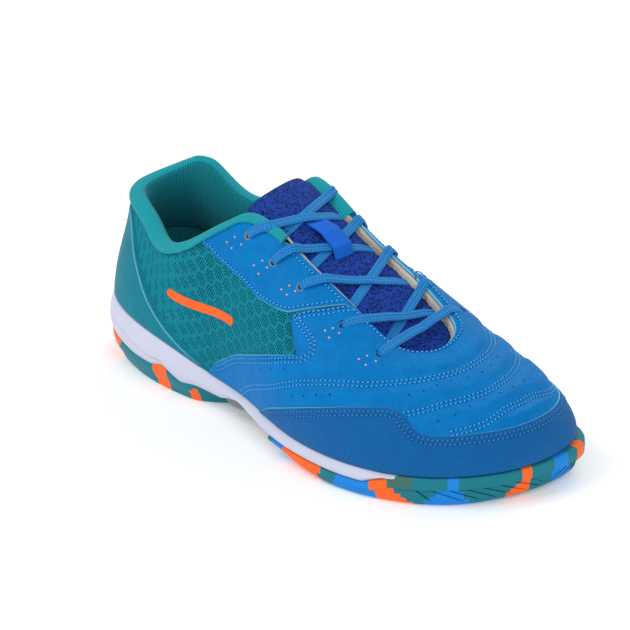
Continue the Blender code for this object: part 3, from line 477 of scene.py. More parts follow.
def addNode(tree, kind, settings=None, links=None):
    # one node: its settings by name or input, where a hex value is a colour, and what feeds its inputs
    node = tree.nodes.new(kind)
    for key, value in (settings or {}).items():
        if isinstance(value, str) and value.startswith("#"):
            value = linearColor(value)
        if isinstance(key, int) or key in node.inputs:
            node.inputs[key].default_value = value
        else:
            setattr(node, key, value)
    for key, source in (links or {}).items():
        socket = source.outputs[0] if isinstance(source, bpy.types.Node) else source
        tree.links.new(socket, node.inputs[key])
    return node


def newFinish(name, roughness, specular=0.5, sheen=0.0):
    finish = bpy.data.materials.new(name)
    finish.use_nodes = True
    shader = finish.node_tree.nodes["Principled BSDF"]
    shader.inputs["Roughness"].default_value = roughness
    shader.inputs["Specular IOR Level"].default_value = specular
    shader.inputs["Sheen Weight"].default_value = sheen
    return finish, finish.node_tree, shader


def leatherFinish(name, color, deep, grainMm=1.2, depth=0.34):
    # PU-coated synthetic leather embossed with fine short wrinkles: satin, with faint highlights on them;
    # the real grain is about half a millimetre, and it is drawn coarser so that it shows
    finish, tree, shader = newFinish(name, 0.5, 0.07)
    place = addNode(tree, "ShaderNodeTexCoord").outputs["Object"]
    longer = addNode(tree, "ShaderNodeVectorMath", {"operation": "MULTIPLY", 1: (0.45, 1.0, 1.0)}, {0: place})
    pebble = addNode(tree, "ShaderNodeTexVoronoi", {"Scale": 1 / (grainMm * mm), "feature": "SMOOTH_F1",
                                                   "Smoothness": 0.4}, {"Vector": longer})
    raised = addNode(tree, "ShaderNodeMath", {"operation": "MULTIPLY", 1: -1.0}, {0: pebble})
    grain = addNode(tree, "ShaderNodeMapRange", {"From Min": 0.2, "From Max": 0.8, "To Max": 0.30},
                    {0: pebble})
    cloud = addNode(tree, "ShaderNodeTexNoise", {"Scale": 1 / (9 * mm), "Detail": 2.0}, {"Vector": place})
    tone = addNode(tree, "ShaderNodeMapRange", {"From Min": 0.35, "From Max": 0.75, "To Max": 0.45},
                   {0: cloud})
    base = addNode(tree, "ShaderNodeMix", {"data_type": "RGBA", 6: color, 7: deep}, {0: grain})
    worn = addNode(tree, "ShaderNodeMix", {"data_type": "RGBA", 7: deep}, {0: tone, 6: base.outputs[2]})
    bump = addNode(tree, "ShaderNodeBump", {"Distance": depth * mm, "Strength": 0.8}, {"Height": raised})
    tree.links.new(worn.outputs[2], shader.inputs["Base Color"])
    tree.links.new(bump.outputs[0], shader.inputs["Normal"])
    return finish


def suedeFinish(name, color, deep, napMm=0.55):
    # brushed microfibre suede: a nap that scatters light, so it is dull, speckled where fibres lie over;
    # real fibres are far finer than a pixel, and the speckle is drawn as coarse as it needs to show
    finish, tree, shader = newFinish(name, 0.92, 0.15, 0.08)
    place = addNode(tree, "ShaderNodeTexCoord").outputs["Object"]
    nap = addNode(tree, "ShaderNodeTexNoise", {"Scale": 1 / (napMm * mm), "Detail": 4.0, "Roughness": 0.7},
                  {"Vector": place})
    speckle = addNode(tree, "ShaderNodeMapRange", {"From Min": 0.36, "From Max": 0.66}, {0: nap})
    cloud = addNode(tree, "ShaderNodeTexNoise", {"Scale": 1 / (14 * mm), "Detail": 2.0}, {"Vector": place})
    tone = addNode(tree, "ShaderNodeMapRange", {"From Min": 0.4, "From Max": 0.7, "To Max": 0.25}, {0: cloud})
    base = addNode(tree, "ShaderNodeMix", {"data_type": "RGBA", 6: deep, 7: color}, {0: speckle})
    worn = addNode(tree, "ShaderNodeMix", {"data_type": "RGBA", 7: deep}, {0: tone, 6: base.outputs[2]})
    bump = addNode(tree, "ShaderNodeBump", {"Distance": 0.16 * mm, "Strength": 0.7}, {"Height": nap})
    tree.links.new(worn.outputs[2], shader.inputs["Base Color"])
    tree.links.new(bump.outputs[0], shader.inputs["Normal"])
    return finish


def knitFinish(name, color, deep, pitchMm, depth, edge=(0.35, 0.75), loose=0.5):
    # knitted polyester: small soft loops in staggered rows with a dark dimple between them, no gloss
    finish, tree, shader = newFinish(name, 0.85, 0.15, 0.05)
    uv = addNode(tree, "ShaderNodeUVMap", {"uv_map": "surface"})
    wobble = addNode(tree, "ShaderNodeTexNoise", {"Scale": 0.35, "Detail": 1.0}, {"Vector": uv})
    shifted = addNode(tree, "ShaderNodeVectorMath", {"operation": "MULTIPLY_ADD", 1: (loose, loose, 0.0)},
                      {0: wobble.outputs["Color"], 2: uv})
    apart = addNode(tree, "ShaderNodeSeparateXYZ", links={0: shifted})
    u, v = (addNode(tree, "ShaderNodeMath", {"operation": "MULTIPLY", 1: math.pi / pitchMm[k]},
                    {0: apart.outputs[k]}) for k in (0, 1))
    waves = []
    for operation in ("ADD", "SUBTRACT"):
        slanted = addNode(tree, "ShaderNodeMath", {"operation": operation}, {0: u, 1: v})
        waves.append(addNode(tree, "ShaderNodeMath", {"operation": "SINE"}, {0: slanted}))
    product = addNode(tree, "ShaderNodeMath", {"operation": "MULTIPLY"}, {0: waves[0], 1: waves[1]})
    loops = addNode(tree, "ShaderNodeMath", {"operation": "MULTIPLY_ADD", 1: 0.5, 2: 0.5}, {0: product})
    shade = addNode(tree, "ShaderNodeMapRange", {"From Min": edge[0], "From Max": edge[1]}, {0: loops})
    yarn = addNode(tree, "ShaderNodeTexNoise", {"Scale": 2.6, "Detail": 2.0}, {"Vector": uv})
    fleck = addNode(tree, "ShaderNodeMapRange", {"From Min": 0.35, "From Max": 0.7, "To Max": 0.35},
                    {0: yarn})
    base = addNode(tree, "ShaderNodeMix", {"data_type": "RGBA", 6: deep, 7: color}, {0: shade})
    worn = addNode(tree, "ShaderNodeMix", {"data_type": "RGBA", 7: deep}, {0: fleck, 6: base.outputs[2]})
    bump = addNode(tree, "ShaderNodeBump", {"Distance": depth * mm}, {"Height": loops})
    tree.links.new(worn.outputs[2], shader.inputs["Base Color"])
    tree.links.new(bump.outputs[0], shader.inputs["Normal"])
    return finish


def airMeshFinish(name, color, deep, pitchMm):
    # knitted air mesh: small uneven holes painted near-black, partly the layer below and partly painted shade
    # in the holes
    finish, tree, shader = newFinish(name, 0.85, 0.1, 0.04)
    uv = addNode(tree, "ShaderNodeUVMap", {"uv_map": "surface"})
    holes = addNode(tree, "ShaderNodeTexVoronoi", {"Scale": 1 / pitchMm, "Randomness": 0.62}, {"Vector": uv})
    weave = addNode(tree, "ShaderNodeMapRange", {"From Min": 0.24, "From Max": 0.56}, {0: holes})
    base = addNode(tree, "ShaderNodeMix", {"data_type": "RGBA", 6: deep, 7: color}, {0: weave})
    bump = addNode(tree, "ShaderNodeBump", {"Distance": 0.22 * mm}, {"Height": weave})
    tree.links.new(base.outputs[2], shader.inputs["Base Color"])
    tree.links.new(bump.outputs[0], shader.inputs["Normal"])
    return finish


def braidFinish(name, color, deep, columnMm, stitchMm):
    # flat tubular braid of textured polyester: columns of short slanted stitches with a groove between them
    finish, tree, shader = newFinish(name, 0.75, 0.2, 0.06)
    uv = addNode(tree, "ShaderNodeUVMap", {"uv_map": "surface"})
    along, across = addNode(tree, "ShaderNodeSeparateXYZ", links={0: uv}).outputs[:2]
    slant = addNode(tree, "ShaderNodeMath", {"operation": "PINGPONG", 1: columnMm}, {0: across})
    slant = addNode(tree, "ShaderNodeMath", {"operation": "MULTIPLY", 1: 0.45 / columnMm}, {0: slant})
    shifted = addNode(tree, "ShaderNodeMath", {"operation": "MULTIPLY_ADD", 1: 1 / stitchMm},
                      {0: along, 2: slant})
    column = addNode(tree, "ShaderNodeMath", {"operation": "MULTIPLY", 1: 1 / columnMm}, {0: across})
    ridges = []
    for value in (shifted, column):
        part = addNode(tree, "ShaderNodeMath", {"operation": "FRACT"}, {0: value})
        part = addNode(tree, "ShaderNodeMath", {"operation": "MULTIPLY", 1: math.pi}, {0: part})
        ridges.append(addNode(tree, "ShaderNodeMath", {"operation": "SINE"}, {0: part}))
    height = addNode(tree, "ShaderNodeMath", {"operation": "MULTIPLY"}, {0: ridges[0], 1: ridges[1]})
    shade = addNode(tree, "ShaderNodeMapRange", {"From Min": 0.0, "From Max": 0.5}, {0: height})
    base = addNode(tree, "ShaderNodeMix", {"data_type": "RGBA", 6: deep, 7: color}, {0: shade})
    bump = addNode(tree, "ShaderNodeBump", {"Distance": 0.25 * mm}, {"Height": height})
    tree.links.new(base.outputs[2], shader.inputs["Base Color"])
    tree.links.new(bump.outputs[0], shader.inputs["Normal"])
    return finish


def plainFinish(name, color, roughness, grainMm=0.6, depth=0.03, vary=0.12, deep="#101010", specular=0.5):
    # a moulded, cut, pressed or woven surface of one colour, with a faint grain and soft darker clouds
    finish, tree, shader = newFinish(name, roughness, specular)
    place = addNode(tree, "ShaderNodeTexCoord").outputs["Object"]
    grain = addNode(tree, "ShaderNodeTexNoise", {"Scale": 1 / (grainMm * mm), "Detail": 3.0},
                    {"Vector": place})
    cloud = addNode(tree, "ShaderNodeTexNoise", {"Scale": 1 / (25 * mm), "Detail": 2.0}, {"Vector": place})
    tone = addNode(tree, "ShaderNodeMapRange", {"From Min": 0.35, "From Max": 0.7, "To Max": vary},
                   {0: cloud})
    base = addNode(tree, "ShaderNodeMix", {"data_type": "RGBA", 6: color, 7: deep}, {0: tone})
    bump = addNode(tree, "ShaderNodeBump", {"Distance": depth * mm, "Strength": 0.6}, {"Height": grain})
    tree.links.new(base.outputs[2], shader.inputs["Base Color"])
    tree.links.new(bump.outputs[0], shader.inputs["Normal"])
    return finish


def marbledFinish(name, layers, jitter=0.0020):
    # vulcanised rubber pressed from sheets of three colours: half matt, its patches with torn, stepped edges
    finish, tree, shader = newFinish(name, 0.55, 0.25)
    uv = addNode(tree, "ShaderNodeUVMap", {"uv_map": "surface"})
    place = addNode(tree, "ShaderNodeTexCoord").outputs["Object"]
    apart = addNode(tree, "ShaderNodeSeparateXYZ", links={0: uv})
    tear = addNode(tree, "ShaderNodeTexNoise", {"Scale": 1 / (5 * mm), "Detail": 3.0, "Roughness": 0.6},
                   {"Vector": place})
    loose = addNode(tree, "ShaderNodeMath", {"operation": "SUBTRACT", 1: 0.5}, {0: tear})
    along, up = (addNode(tree, "ShaderNodeMath", {"operation": "MULTIPLY_ADD", 1: reach},
                         {0: loose, 2: apart.outputs[k]}) for k, reach in ((0, jitter), (1, 0.14)))
    color = None
    for level, stops in layers:
        ramp = addNode(tree, "ShaderNodeValToRGB", links={0: along})
        ramp.color_ramp.interpolation = "CONSTANT"
        elements = ramp.color_ramp.elements
        for k, (station, paint) in enumerate(stops):
            spot = elements[k] if k < 2 else elements.new(station / stations)
            spot.position = station / stations
            spot.color = linearColor(paint)
        if color is None:
            color = ramp.outputs[0]
            continue
        above = addNode(tree, "ShaderNodeMath", {"operation": "GREATER_THAN", 1: level}, {0: up})
        mixed = addNode(tree, "ShaderNodeMix", {"data_type": "RGBA"}, {0: above, 6: color, 7: ramp})
        color = mixed.outputs[2]
    grain = addNode(tree, "ShaderNodeTexNoise", {"Scale": 1 / (0.7 * mm), "Detail": 2.0}, {"Vector": place})
    bump = addNode(tree, "ShaderNodeBump", {"Distance": 0.04 * mm, "Strength": 0.5}, {"Height": grain})
    tree.links.new(color, shader.inputs["Base Color"])
    tree.links.new(bump.outputs[0], shader.inputs["Normal"])
    return finish


# The marbling: each sheet's patches by the station where they start, seen at three heights of the rubber
teal, orange, blue, slate = "#087A8A", "#FF6A1E", "#0A86DC", "#3F6E66"
hiddenPatches = ((11.70, blue), (12.25, teal), (12.60, orange), (12.95, teal), (13.30, blue), (13.60, orange),
                 (14.00, teal))
forefootTop = ((0.0, teal), (5.75, blue), (6.00, orange), (6.67, teal), (6.88, blue), (7.39, orange),
               (7.64, slate), (7.93, teal), (8.38, blue), (8.58, teal), (9.50, orange), (9.68, teal),
               (10.07, blue), (10.35, teal), (10.60, orange), (10.85, teal))
forefootMiddle = ((0.0, teal), (5.75, blue), (5.97, orange), (6.64, teal), (6.84, blue), (7.41, orange),
                  (7.66, teal), (8.28, blue), (8.56, teal), (9.46, orange), (9.66, teal), (10.05, blue),
                  (10.50, teal))
forefootLow = ((0.0, teal), (5.75, blue), (5.95, orange), (6.62, teal), (6.80, blue), (7.46, orange),
               (7.90, teal), (8.05, blue), (8.72, teal), (9.22, orange), (9.66, teal), (10.10, blue),
               (10.70, teal))
heelMiddle = ((0.0, teal), (0.45, orange), (1.80, teal), (2.80, orange), (3.06, teal), (3.62, orange),
              (3.65, teal), (4.10, orange), (4.17, slate), (4.6, teal), (16.6, orange), (16.95, teal),
              (17.9, orange), (18.2, teal))
heelLow = ((0.0, teal), (0.45, orange), (1.42, teal), (2.76, orange), (3.12, teal), (3.55, orange),
           (3.74, teal), (4.10, orange), (4.11, teal), (4.6, teal), (16.8, orange), (17.05, teal),
           (18.1, orange), (18.4, teal))


def slantedLayers(low, high, levels):
    # a patch's edges slant from their stations at the foot of the rubber to those at the highest level
    return [(level, tuple((a[0] + (b[0] - a[0]) * level / levels[-1], a[1]) for a, b in zip(low, high)))
            for level in levels]


forefootLayers = [(level, stops + hiddenPatches) for level, stops in
                  slantedLayers(forefootLow, forefootMiddle, (0.0, 0.12, 0.24, 0.36, 0.48))
                  + [(0.60, forefootTop)]]
heelLayers = slantedLayers(heelLow, heelMiddle, (0.0, 0.15, 0.3, 0.45, 0.6, 0.75, 0.9))

finishes = {
    "vamp": leatherFinish("coatedLeatherBlue", "#007AC4", "#0064A6"),
    # the counter's film is pressed almost smooth, so its grain is fine and shallow
    "counter": leatherFinish("coatedLeatherTeal", "#0A8296", "#066876", 0.8, 0.06),
    # a cut edge shows the coating's paler, dull core
    "cutEdge": plainFinish("leatherCutEdge", "#6FBAD6", 0.8, specular=0.2),
    "suede": suedeFinish("brushedSuedeBlue", "#0B6AAC", "#075292"),
    # knitted polyester spacer mesh: satin strands; closed cells painted a darker teal, painted shade in their
    # dimples; and the layer behind painted near-black
    "strand": plainFinish("spacerMeshStrand", "#128EA2", 0.7, 0.35, 0.08, 0.3, "#0B6C7C", 0.1),
    "dimple": plainFinish("spacerMeshDimplePaintedShade", "#0C7889", 0.8, 0.35, 0.08, 0.3, "#0A6676", 0.1),
    # the layer behind the mesh is painted near-black: painted shade seen through the open holes
    "backingShade": plainFinish("spacerMeshBackingPaintedShade", "#02181F", 0.9, 0.8, 0.1, 0.4, "#010E14", 0.05),
    "collar": knitFinish("paddedKnitCollar", "#1AA2AE", "#0A7684", (1.5, 1.2), 0.12, (0.05, 0.50)),
    # the lining is the collar's knit with its dark ground grown wide: partly the knit's own pattern, partly
    # painted shade inside the shoe
    "lining": knitFinish("liningKnit", "#1AA0AC", "#086A78", (1.5, 1.2), 0.12, (0.40, 0.90)),
    # the air mesh's near-black holes: partly the layer below, partly painted shade
    "tongue": airMeshFinish("tongueAirMeshHoleShade", "#153F9E", "#040B30", 1.30),
    # tight woven polyester tape: smooth and a little shiny
    "webbing": plainFinish("wovenWebbing", "#0868D6", 0.65, 0.4, 0.05, 0.15, "#0A3FA8", 0.2),
    "lace": braidFinish("flatBraidedLace", "#2289D0", "#0C62AA", 1.45, 1.6),
    # bonded nylon sewing thread: pale where it catches light; the needle holes between stitches are dark
    # discs of painted shade
    "thread": plainFinish("bondedNylonThread", "#4DB0F0", 0.55, 0.3, 0.02, 0.1),
    "guardThread": plainFinish("bondedNylonThreadDark", "#2C80C2", 0.55, 0.3, 0.02, 0.1),
    "needleShade": plainFinish("needleHoleShade", "#063C80", 0.9, specular=0.1),
    # dark discs in the punched pinholes: painted shade in them
    "pinholeShade": plainFinish("punchedHoleShade", "#04203E", 0.95),
    # lining synthetic, folded over: pale and half matt, with random grey clouds that are painted shade
    "facingLining": plainFinish("facingLiningSyntheticPaintedShade", "#BDB8AC", 0.55, 0.7, 0.05, 0.55, "#6E6A64"),
    # moulded EVA foam: a smooth skin with a soft gloss
    "foam": plainFinish("mouldedEvaFoam", "#CCCFE2", 0.5, 0.5, 0.02, 0.08, "#AAADC4", 0.3),
    "rubber": marbledFinish("marbledRubberForefoot", forefootLayers),
    "heelRubber": marbledFinish("marbledRubberHeel", heelLayers),
    # injection-moulded TPU: even grey, half matt
    "plate": plainFinish("mouldedArchPlate", "#6E7573", 0.5, 0.5, 0.02, 0.3, "#4E5453"),
    "insole": knitFinish("insoleTopCloth", "#136A8C", "#0A3E58", (1.1, 1.1), 0.06),
    # polyurethane film pressed on with heat: flat, with the gloss of its carrier
    "film": plainFinish("heatPressedFilm", "#FF6412", 0.45, 0.4, 0.02, 0.05, specular=0.2),
    # printed ink round a punched centre
    "dot": plainFinish("printedDot", "#B45A50", 0.6),
    "dotCentre": plainFinish("punchedDotCentre", "#CFC6DE", 0.7),
}
print("finishes made:", len(finishes))

# The sole

sole = {
    "rim": 0.0046,  # how far the rubber's side reaches in over its seat
    "bandRound": 0.0009,
    "heelUndercut": 0.004,
    "foreUndercut": 0.002,
    "gap": 0.0003,
    "finPitch": 0.0076,
    "finDepth": 0.0011,
    "finSlant": 0.42,  # in stations, from a fin's foot to its top
    "finStart": 7.80,
    "heelTurn": 3.6,  # where the heel rubber begins to turn in
    "heelEnd": 4.72,
    "archSpan": (3.95, 5.62),
    "forefootStart": 5.68,
    "treadPitch": 0.0062,
    "treadDepth": 0.0014,
    "foamBulge": 0.0009,
    "notch": 0.58,
}
# heights along the sole as (share of length, share of heelStack)
whiteEdge = ((0.00, 0.42), (0.09, 0.41), (0.16, 0.36), (0.205, 0.35), (0.237, 0.41), (0.265, 0.32),
             (0.29, 0.265), (0.33, 0.315), (0.36, 0.31), (0.385, 0.31), (0.42, 0.38), (0.46, 0.42),
             (0.50, 0.36), (0.54, 0.31), (0.60, 0.29), (0.67, 0.28), (0.77, 0.25), (0.80, 0.25),
             (0.82, 0.31), (0.845, 0.39), (0.868, 0.46))
heelTop = ((0.355, 0.31), (0.385, 0.265), (0.41, 0.19), (0.44, 0.09))
archUnderside = ((0.395, 0.29), (0.42, 0.22), (0.445, 0.24), (0.48, 0.30), (0.52, 0.255), (0.56, 0.235),
                 (0.60, 0.215))
seatHeight = ((0.60, 0.29), (0.77, 0.25), (0.90, 0.24), (1.00, 0.27))
treadHeight = ((0.00, 0.05), (0.05, 0.00), (0.40, 0.00), (0.44, 0.03), (0.60, 0.17), (0.66, 0.08),
               (0.72, 0.02), (0.76, 0.00), (0.93, 0.00), (1.00, 0.05))


def lengthShare(station):
    return sectionAt(station)[..., 0] / last["length"]


def soleHeight(rows, station):
    return last["heelStack"] * curveThrough(rows, lengthShare(station))


def ledgeAt(station):
    # the toe bumper stands out a little further than the ledge behind it
    toe = np.exp(-((np.asarray(station, float) - 10.9) / 0.8) ** 2)
    return sectionAt(station)[..., 10] + 0.0014 * toe


def undercutAt(station):
    # the tread's rim lies inside the bite line, further at the heel
    atHeel = np.clip(2 - lengthShare(station) * 8, 0, 1)
    return -(sole["foreUndercut"] + (sole["heelUndercut"] - sole["foreUndercut"]) * atHeel)


def sidePoint(station, out, level):
    # a place beside the bite line, at a height over the floor
    station, out, level = np.broadcast_arrays(*(np.asarray(value, float) for value in (station, out, level)))
    point = sectionAt(station)[..., 0:3] + outwardAt(station) * out[..., None]
    point[..., 2] = level
    return point + origin * (1, 1, 0)


def footRing(stationsOut, profile, seatSteps, treadSteps, treadRelief=None):
    # cross-sections of a sole piece: up the outer side, over, down the inner side and back along the tread
    outerRows, innerRows = profile(stationsOut), profile(stations - stationsOut)
    outer = np.stack([sidePoint(*row) for row in outerRows], 1)
    inner = np.stack([sidePoint(*row) for row in innerRows], 1)
    tall = np.maximum(outer[..., 2].max(axis=1) - outer[:, 0, 2], 1e-6)[:, None]
    levels = np.clip((outer[..., 2] - outer[:, :1, 2]) / tall, 0, 1)
    over = np.linspace(0, 1, seatSteps + 1)[1:-1]
    back = np.linspace(0, 1, treadSteps + 1)[1:]
    top = outer[:, -1:] * (1 - over[None, :, None]) + inner[:, -1:] * over[None, :, None]
    low = inner[:, :1] * (1 - back[None, :, None]) + outer[:, :1] * back[None, :, None]
    if treadRelief is not None:
        low[:, :-1, 2] += treadRelief(low[:, :-1], back[None, :-1])
    points = np.concatenate([outer, top, inner[:, ::-1], low], axis=1)
    column = stationsOut[:, None]
    around = np.concatenate([np.stack([row[0] + 0 * stationsOut for row in outerRows], 1),
                             np.repeat(column, len(over), 1),
                             np.stack([row[0] + 0 * stationsOut for row in innerRows[::-1]], 1),
                             np.where(back[None, :] < 0.5, stations - column, column)], 1)
    rise = np.concatenate([levels, np.ones((len(outer), len(over))), levels[:, ::-1],
                           np.zeros((len(outer), len(back)))], 1)
    return points, np.stack([around / stations, rise], -1)


def treadPattern(places, back):
    # herringbone grooves cut up into the tread, away from its rim
    across = np.abs(back - 0.5) * 2
    wave = places[..., 0] / sole["treadPitch"] + 2.6 * np.abs(((back * 6) % 1) - 0.5)
    groove = np.exp(-((np.abs((wave % 1) - 0.5)) / 0.16) ** 2)
    return sole["treadDepth"] * groove * smoothStep((0.93 - across) / 0.06)


def heelProfile(station):
    # the heel rubber's side, from its tread up to the foam
    low = soleHeight(treadHeight, station)
    sloping = lengthShare(station) > heelTop[0][0]
    slope = np.where(sloping, soleHeight(heelTop, station), last["heelStack"])
    top = np.minimum(soleHeight(whiteEdge, station), slope)
    fromTurn = np.clip(np.minimum(station, stations - station) - sole["heelTurn"], 0, None)
    fromEnd = fromTurn / (sole["heelEnd"] - sole["heelTurn"])
    low = low + 0.0012 * smoothStep(fromEnd * 1.5)
    tall, under = np.maximum(top - low, 0.0012), undercutAt(station)
    # the rubber's front corners turn in towards the middle of the shoe
    out, turn = ledgeAt(station), 0.026 * fromEnd ** 1.4
    rows = []
    for inset, proud, rise in ((1.0, 0.0, 0.0), (0.85, 0.0, 0.02), (0.55, 0.0, 0.14), (0.3, 0.0, 0.33),
                               (0.0, 0.35, 0.55), (0.0, 0.75, 0.76), (0.0, 0.85, 0.88), (0.0, 0.86, 0.96),
                               (0.0, 0.78, 0.995), (0.0, 0.4, 1.0)):
        rows.append((station, under * inset + out * proud - turn, low + rise * tall))
    return rows


def finColumns():
    # stations of the forefoot's columns, close together at each fin's groove, and how deep each lies
    fine = np.linspace(sole["forefootStart"], half, 1200)
    length = lengthsAlong(sidePoint(fine, 0.0, 0.0))
    place = np.interp(sole["finStart"], fine, length)
    shape = ((0.0, -1.0), (0.035, -1.0), (0.07, -0.38), (0.3, -0.28), (0.55, -0.16), (0.8, -0.04),
             (0.955, 0.0))
    at = list(np.arange(0, place - 0.001, 0.0028))
    depth = [0.0] * len(at)
    while place < length[-1]:
        for share, deep in shape:
            if place + share * sole["finPitch"] < length[-1] - 0.0003:
                at.append(place + share * sole["finPitch"])
                depth.append(deep)
        place += sole["finPitch"]
    at.append(length[-1])
    depth.append(0.0)
    return np.interp(at, length, fine), np.array(depth)


def forefootProfile(station, slide, depth):
    # the slanted fins below, then a step and the smooth band that meets the foam or the upper
    x = lengthShare(station)
    inner = station > half
    lowStation = station + np.where(inner, -slide, slide)
    bite = sectionAt(station)[..., 2] - sole["gap"]
    white = soleHeight(whiteEdge, station) - sole["gap"]
    top = np.where(x > whiteEdge[-1][0], bite, np.minimum(white, bite))
    seat = np.minimum(soleHeight(seatHeight, station) - sole["gap"], top - sole["gap"])
    low = soleHeight(treadHeight, lowStation)
    out = ledgeAt(station)
    notch = low + sole["notch"] * (top - low)
    rows = [(lowStation, undercutAt(lowStation), low),
            (lowStation, undercutAt(lowStation) * 0.55, low + 0.03 * (top - low)),
            (lowStation, 0.0, low + 0.10 * (top - low))]
    for t in np.linspace(0, 1, 6):
        at = lowStation + (station - lowStation) * t
        rise = 0.18 + (sole["notch"] - 0.03 - 0.18) * t
        swell = ledgeAt(at) * (0.28 + 0.34 * t) + depth * min(1, 0.25 + 3 * t)
        rows.append((at, swell, low + rise * (top - low)))
    step = np.clip((np.minimum(station, stations - station) - 7.5) / 0.35, 0, 1)
    rows += [(station, out * (0.90 - 0.45 * step) + depth * 0.4, notch - 0.0001),
             (station, out * 0.97, notch + 0.0002 + 0.0005 * (1 - step)),
             (station, out * 1.0, (notch + top) / 2),
             (station, out * 0.97, top - sole["bandRound"]),
             (station, out * 0.90, top - sole["bandRound"] * 0.3),
             (station, out * 0.75, top),
             (station, out - sole["rim"], top),
             (station, out - sole["rim"] - 2 * sole["gap"], seat)]
    return rows


def makeRubber():
    columns, depth = finColumns()
    inside = np.minimum(columns - sole["finStart"], half - columns)
    full = np.clip(inside / 0.4, 0, 1)
    slide = sole["finSlant"] * full
    cut = sole["finDepth"] * depth * np.clip((columns - sole["finStart"] + 0.2) / 0.4, 0, 1)
    cut = cut * smoothStep((half - columns - 0.1) / 0.4)
    points, uv = footRing(columns, lambda station: forefootProfile(station, slide, cut), 10, 60,
                          treadPattern)
    addPiece("forefootRubber", gridShape(points, uv, capEnds=True), [finishes["rubber"]],
             ["outsole_forefoot"])
    columns = np.linspace(0, sole["heelEnd"], 110)
    points, uv = footRing(columns, heelProfile, 10, 60, treadPattern)
    addPiece("heelRubber", gridShape(points, uv, capEnds=True), [finishes["heelRubber"]],
             ["outsole_heel"])


def foamProfile(station):
    # the white foam's side, softly bulged, with its lower edge a wave
    x = lengthShare(station)
    top = sectionAt(station)[..., 2] - sole["gap"]
    white = np.minimum(soleHeight(whiteEdge, station), top - 0.002)
    shows = np.clip((0.885 - x) / 0.03, 0, 1)
    hidden = ledgeAt(station) - sole["rim"] + sole["foamBulge"]
    out = hidden + (ledgeAt(station) - hidden) * shows
    # the moulded line that runs round the heel and sinks towards the arch
    line = curveThrough(((0.0, 0.62), (0.10, 0.50), (0.20, 0.26), (0.28, 0.10)), x)
    strength = 0.0008 * np.clip((0.30 - x) / 0.06, 0, 1)
    rows = [(station, out - 0.006, white - 0.0015), (station, out - 0.0022, white - 0.0010)]
    for rise in (0.0, 0.04, *np.linspace(0.08, 0.92, 29), 0.95, 0.985, 1.0):
        bulge = sole["foamBulge"] * (1.0 - 2.1 * np.abs(rise - 0.47) ** 2.2 / 0.47 ** 2.2)
        groove = strength * np.exp(-((rise - line) / 0.035) ** 2)
        crimp = 0.0006 * (rise == 1.0)
        rows.append((station, out + bulge * shows - groove - crimp, white + rise * (top - white)))
    rows.append((station, out - 0.004, top))
    return rows


def plateProfile(station):
    # the grey plate is set back under the foam
    top = soleHeight(whiteEdge, station) - sole["gap"]
    low = soleHeight(archUnderside, station)
    out = ledgeAt(station) * 0.2
    return [(station, out - 0.0030, low), (station, out - 0.0016, low + 0.0002),
            (station, out - 0.0011, low + 0.0009), (station, out - 0.0007, (low + top) / 2),
            (station, out - 0.0006, top)]


def insoleProfile(station):
    # a thin board that fills the foot of the upper
    low = sectionAt(station)[..., 2] + sole["gap"]
    inside = -(last["wall"] + 3 * sole["gap"])
    return [(station, inside - 0.0006, low), (station, inside, low + 0.0006), (station, inside, low + 0.0030),
            (station, inside - 0.0005, low + 0.0035)]


def makeFoamAndPlate():
    columns = np.concatenate([np.linspace(0, 8.2, 190), np.linspace(8.2, half, 40)[1:]])
    points, uv = footRing(columns, foamProfile, 10, 8)
    addPiece("midsoleFoam", gridShape(points), [finishes["foam"]], ["midsole"])
    points, uv = footRing(np.linspace(*sole["archSpan"], 48), plateProfile, 6, 12)
    addPiece("archPlate", gridShape(points, capEnds=True), [finishes["plate"]],
             ["arch_plate"])
    points, uv = footRing(np.linspace(0, half, 120), insoleProfile, 24, 8)
    uv = np.stack([points[..., 0], points[..., 1]], -1) / mm
    addPiece("insoleBoard", gridShape(points, uv), [finishes["insole"]], ["insole"])


makeRubber()
makeFoamAndPlate()
print("sole made")

# The upper's panels

# edges on the wall as (station, share) on the outer side; the inner side mirrors them
outlines = {
    "foot": 0.010,
    "guardRear": ((5.42, 0.010), (5.75, 0.12), (6.1, 0.20), (6.6, 0.30)),
    "guardSide": ((6.6, 0.30), (7.1, 0.39)),
    "guardFront": ((7.1, 0.39), (7.5, 0.45), (7.88, 0.492), (8.00, 0.487), (8.07, 0.455), (8.13, 0.40),
                   (8.22, 0.362), (8.4, 0.35), (9.1, 0.365), (10.0, 0.365)),
    "wingTip": ((4.05, 0.010), (4.34, 0.15), (4.77, 0.24)),
    "wingRear": ((4.77, 0.24), (5.39, 0.33), (6.31, 0.505), (6.52, 0.55), (6.59, 0.59)),
    "wingNotch": ((6.59, 0.59), (6.50, 0.62), (6.31, 0.645), (6.25, 0.67), (6.40, 0.741), (6.73, 0.856),
                  (7.045, 1.0)),
    "eyestayLow": ((4.13, 1.0), (4.28, 0.88), (4.66, 0.73), (5.15, 0.64), (5.51, 0.615), (5.85, 0.635),
                   (6.13, 0.672), (6.385, 0.745), (6.715, 0.860), (7.03, 1.0)),
    "eyestayTop": ((4.13, 0.935), (4.58, 0.930), (4.87, 0.935), (5.14, 0.950), (5.40, 0.962), (5.62, 0.966),
                   (5.76, 0.975), (5.84, 0.99), (5.95, 1.0), (6.4, 1.0), (7.03, 1.0)),
    "counterTop": ((0.0, 0.83), (0.6, 0.83), (1.19, 0.80), (1.79, 0.57), (2.31, 0.42), (2.74, 0.28),
                   (3.16, 0.14), (3.55, 0.05), (3.9, 0.010)),
    "tapeLow": levelRows(-0.16, 0.16, 0.79),
    "tapeTop": levelRows(-0.16, 0.16, 0.925),
}
eyelets = ((5.18, 0.865), (5.74, 0.83), (6.27, 0.845), (7.03, 0.83), (7.75, 0.82))
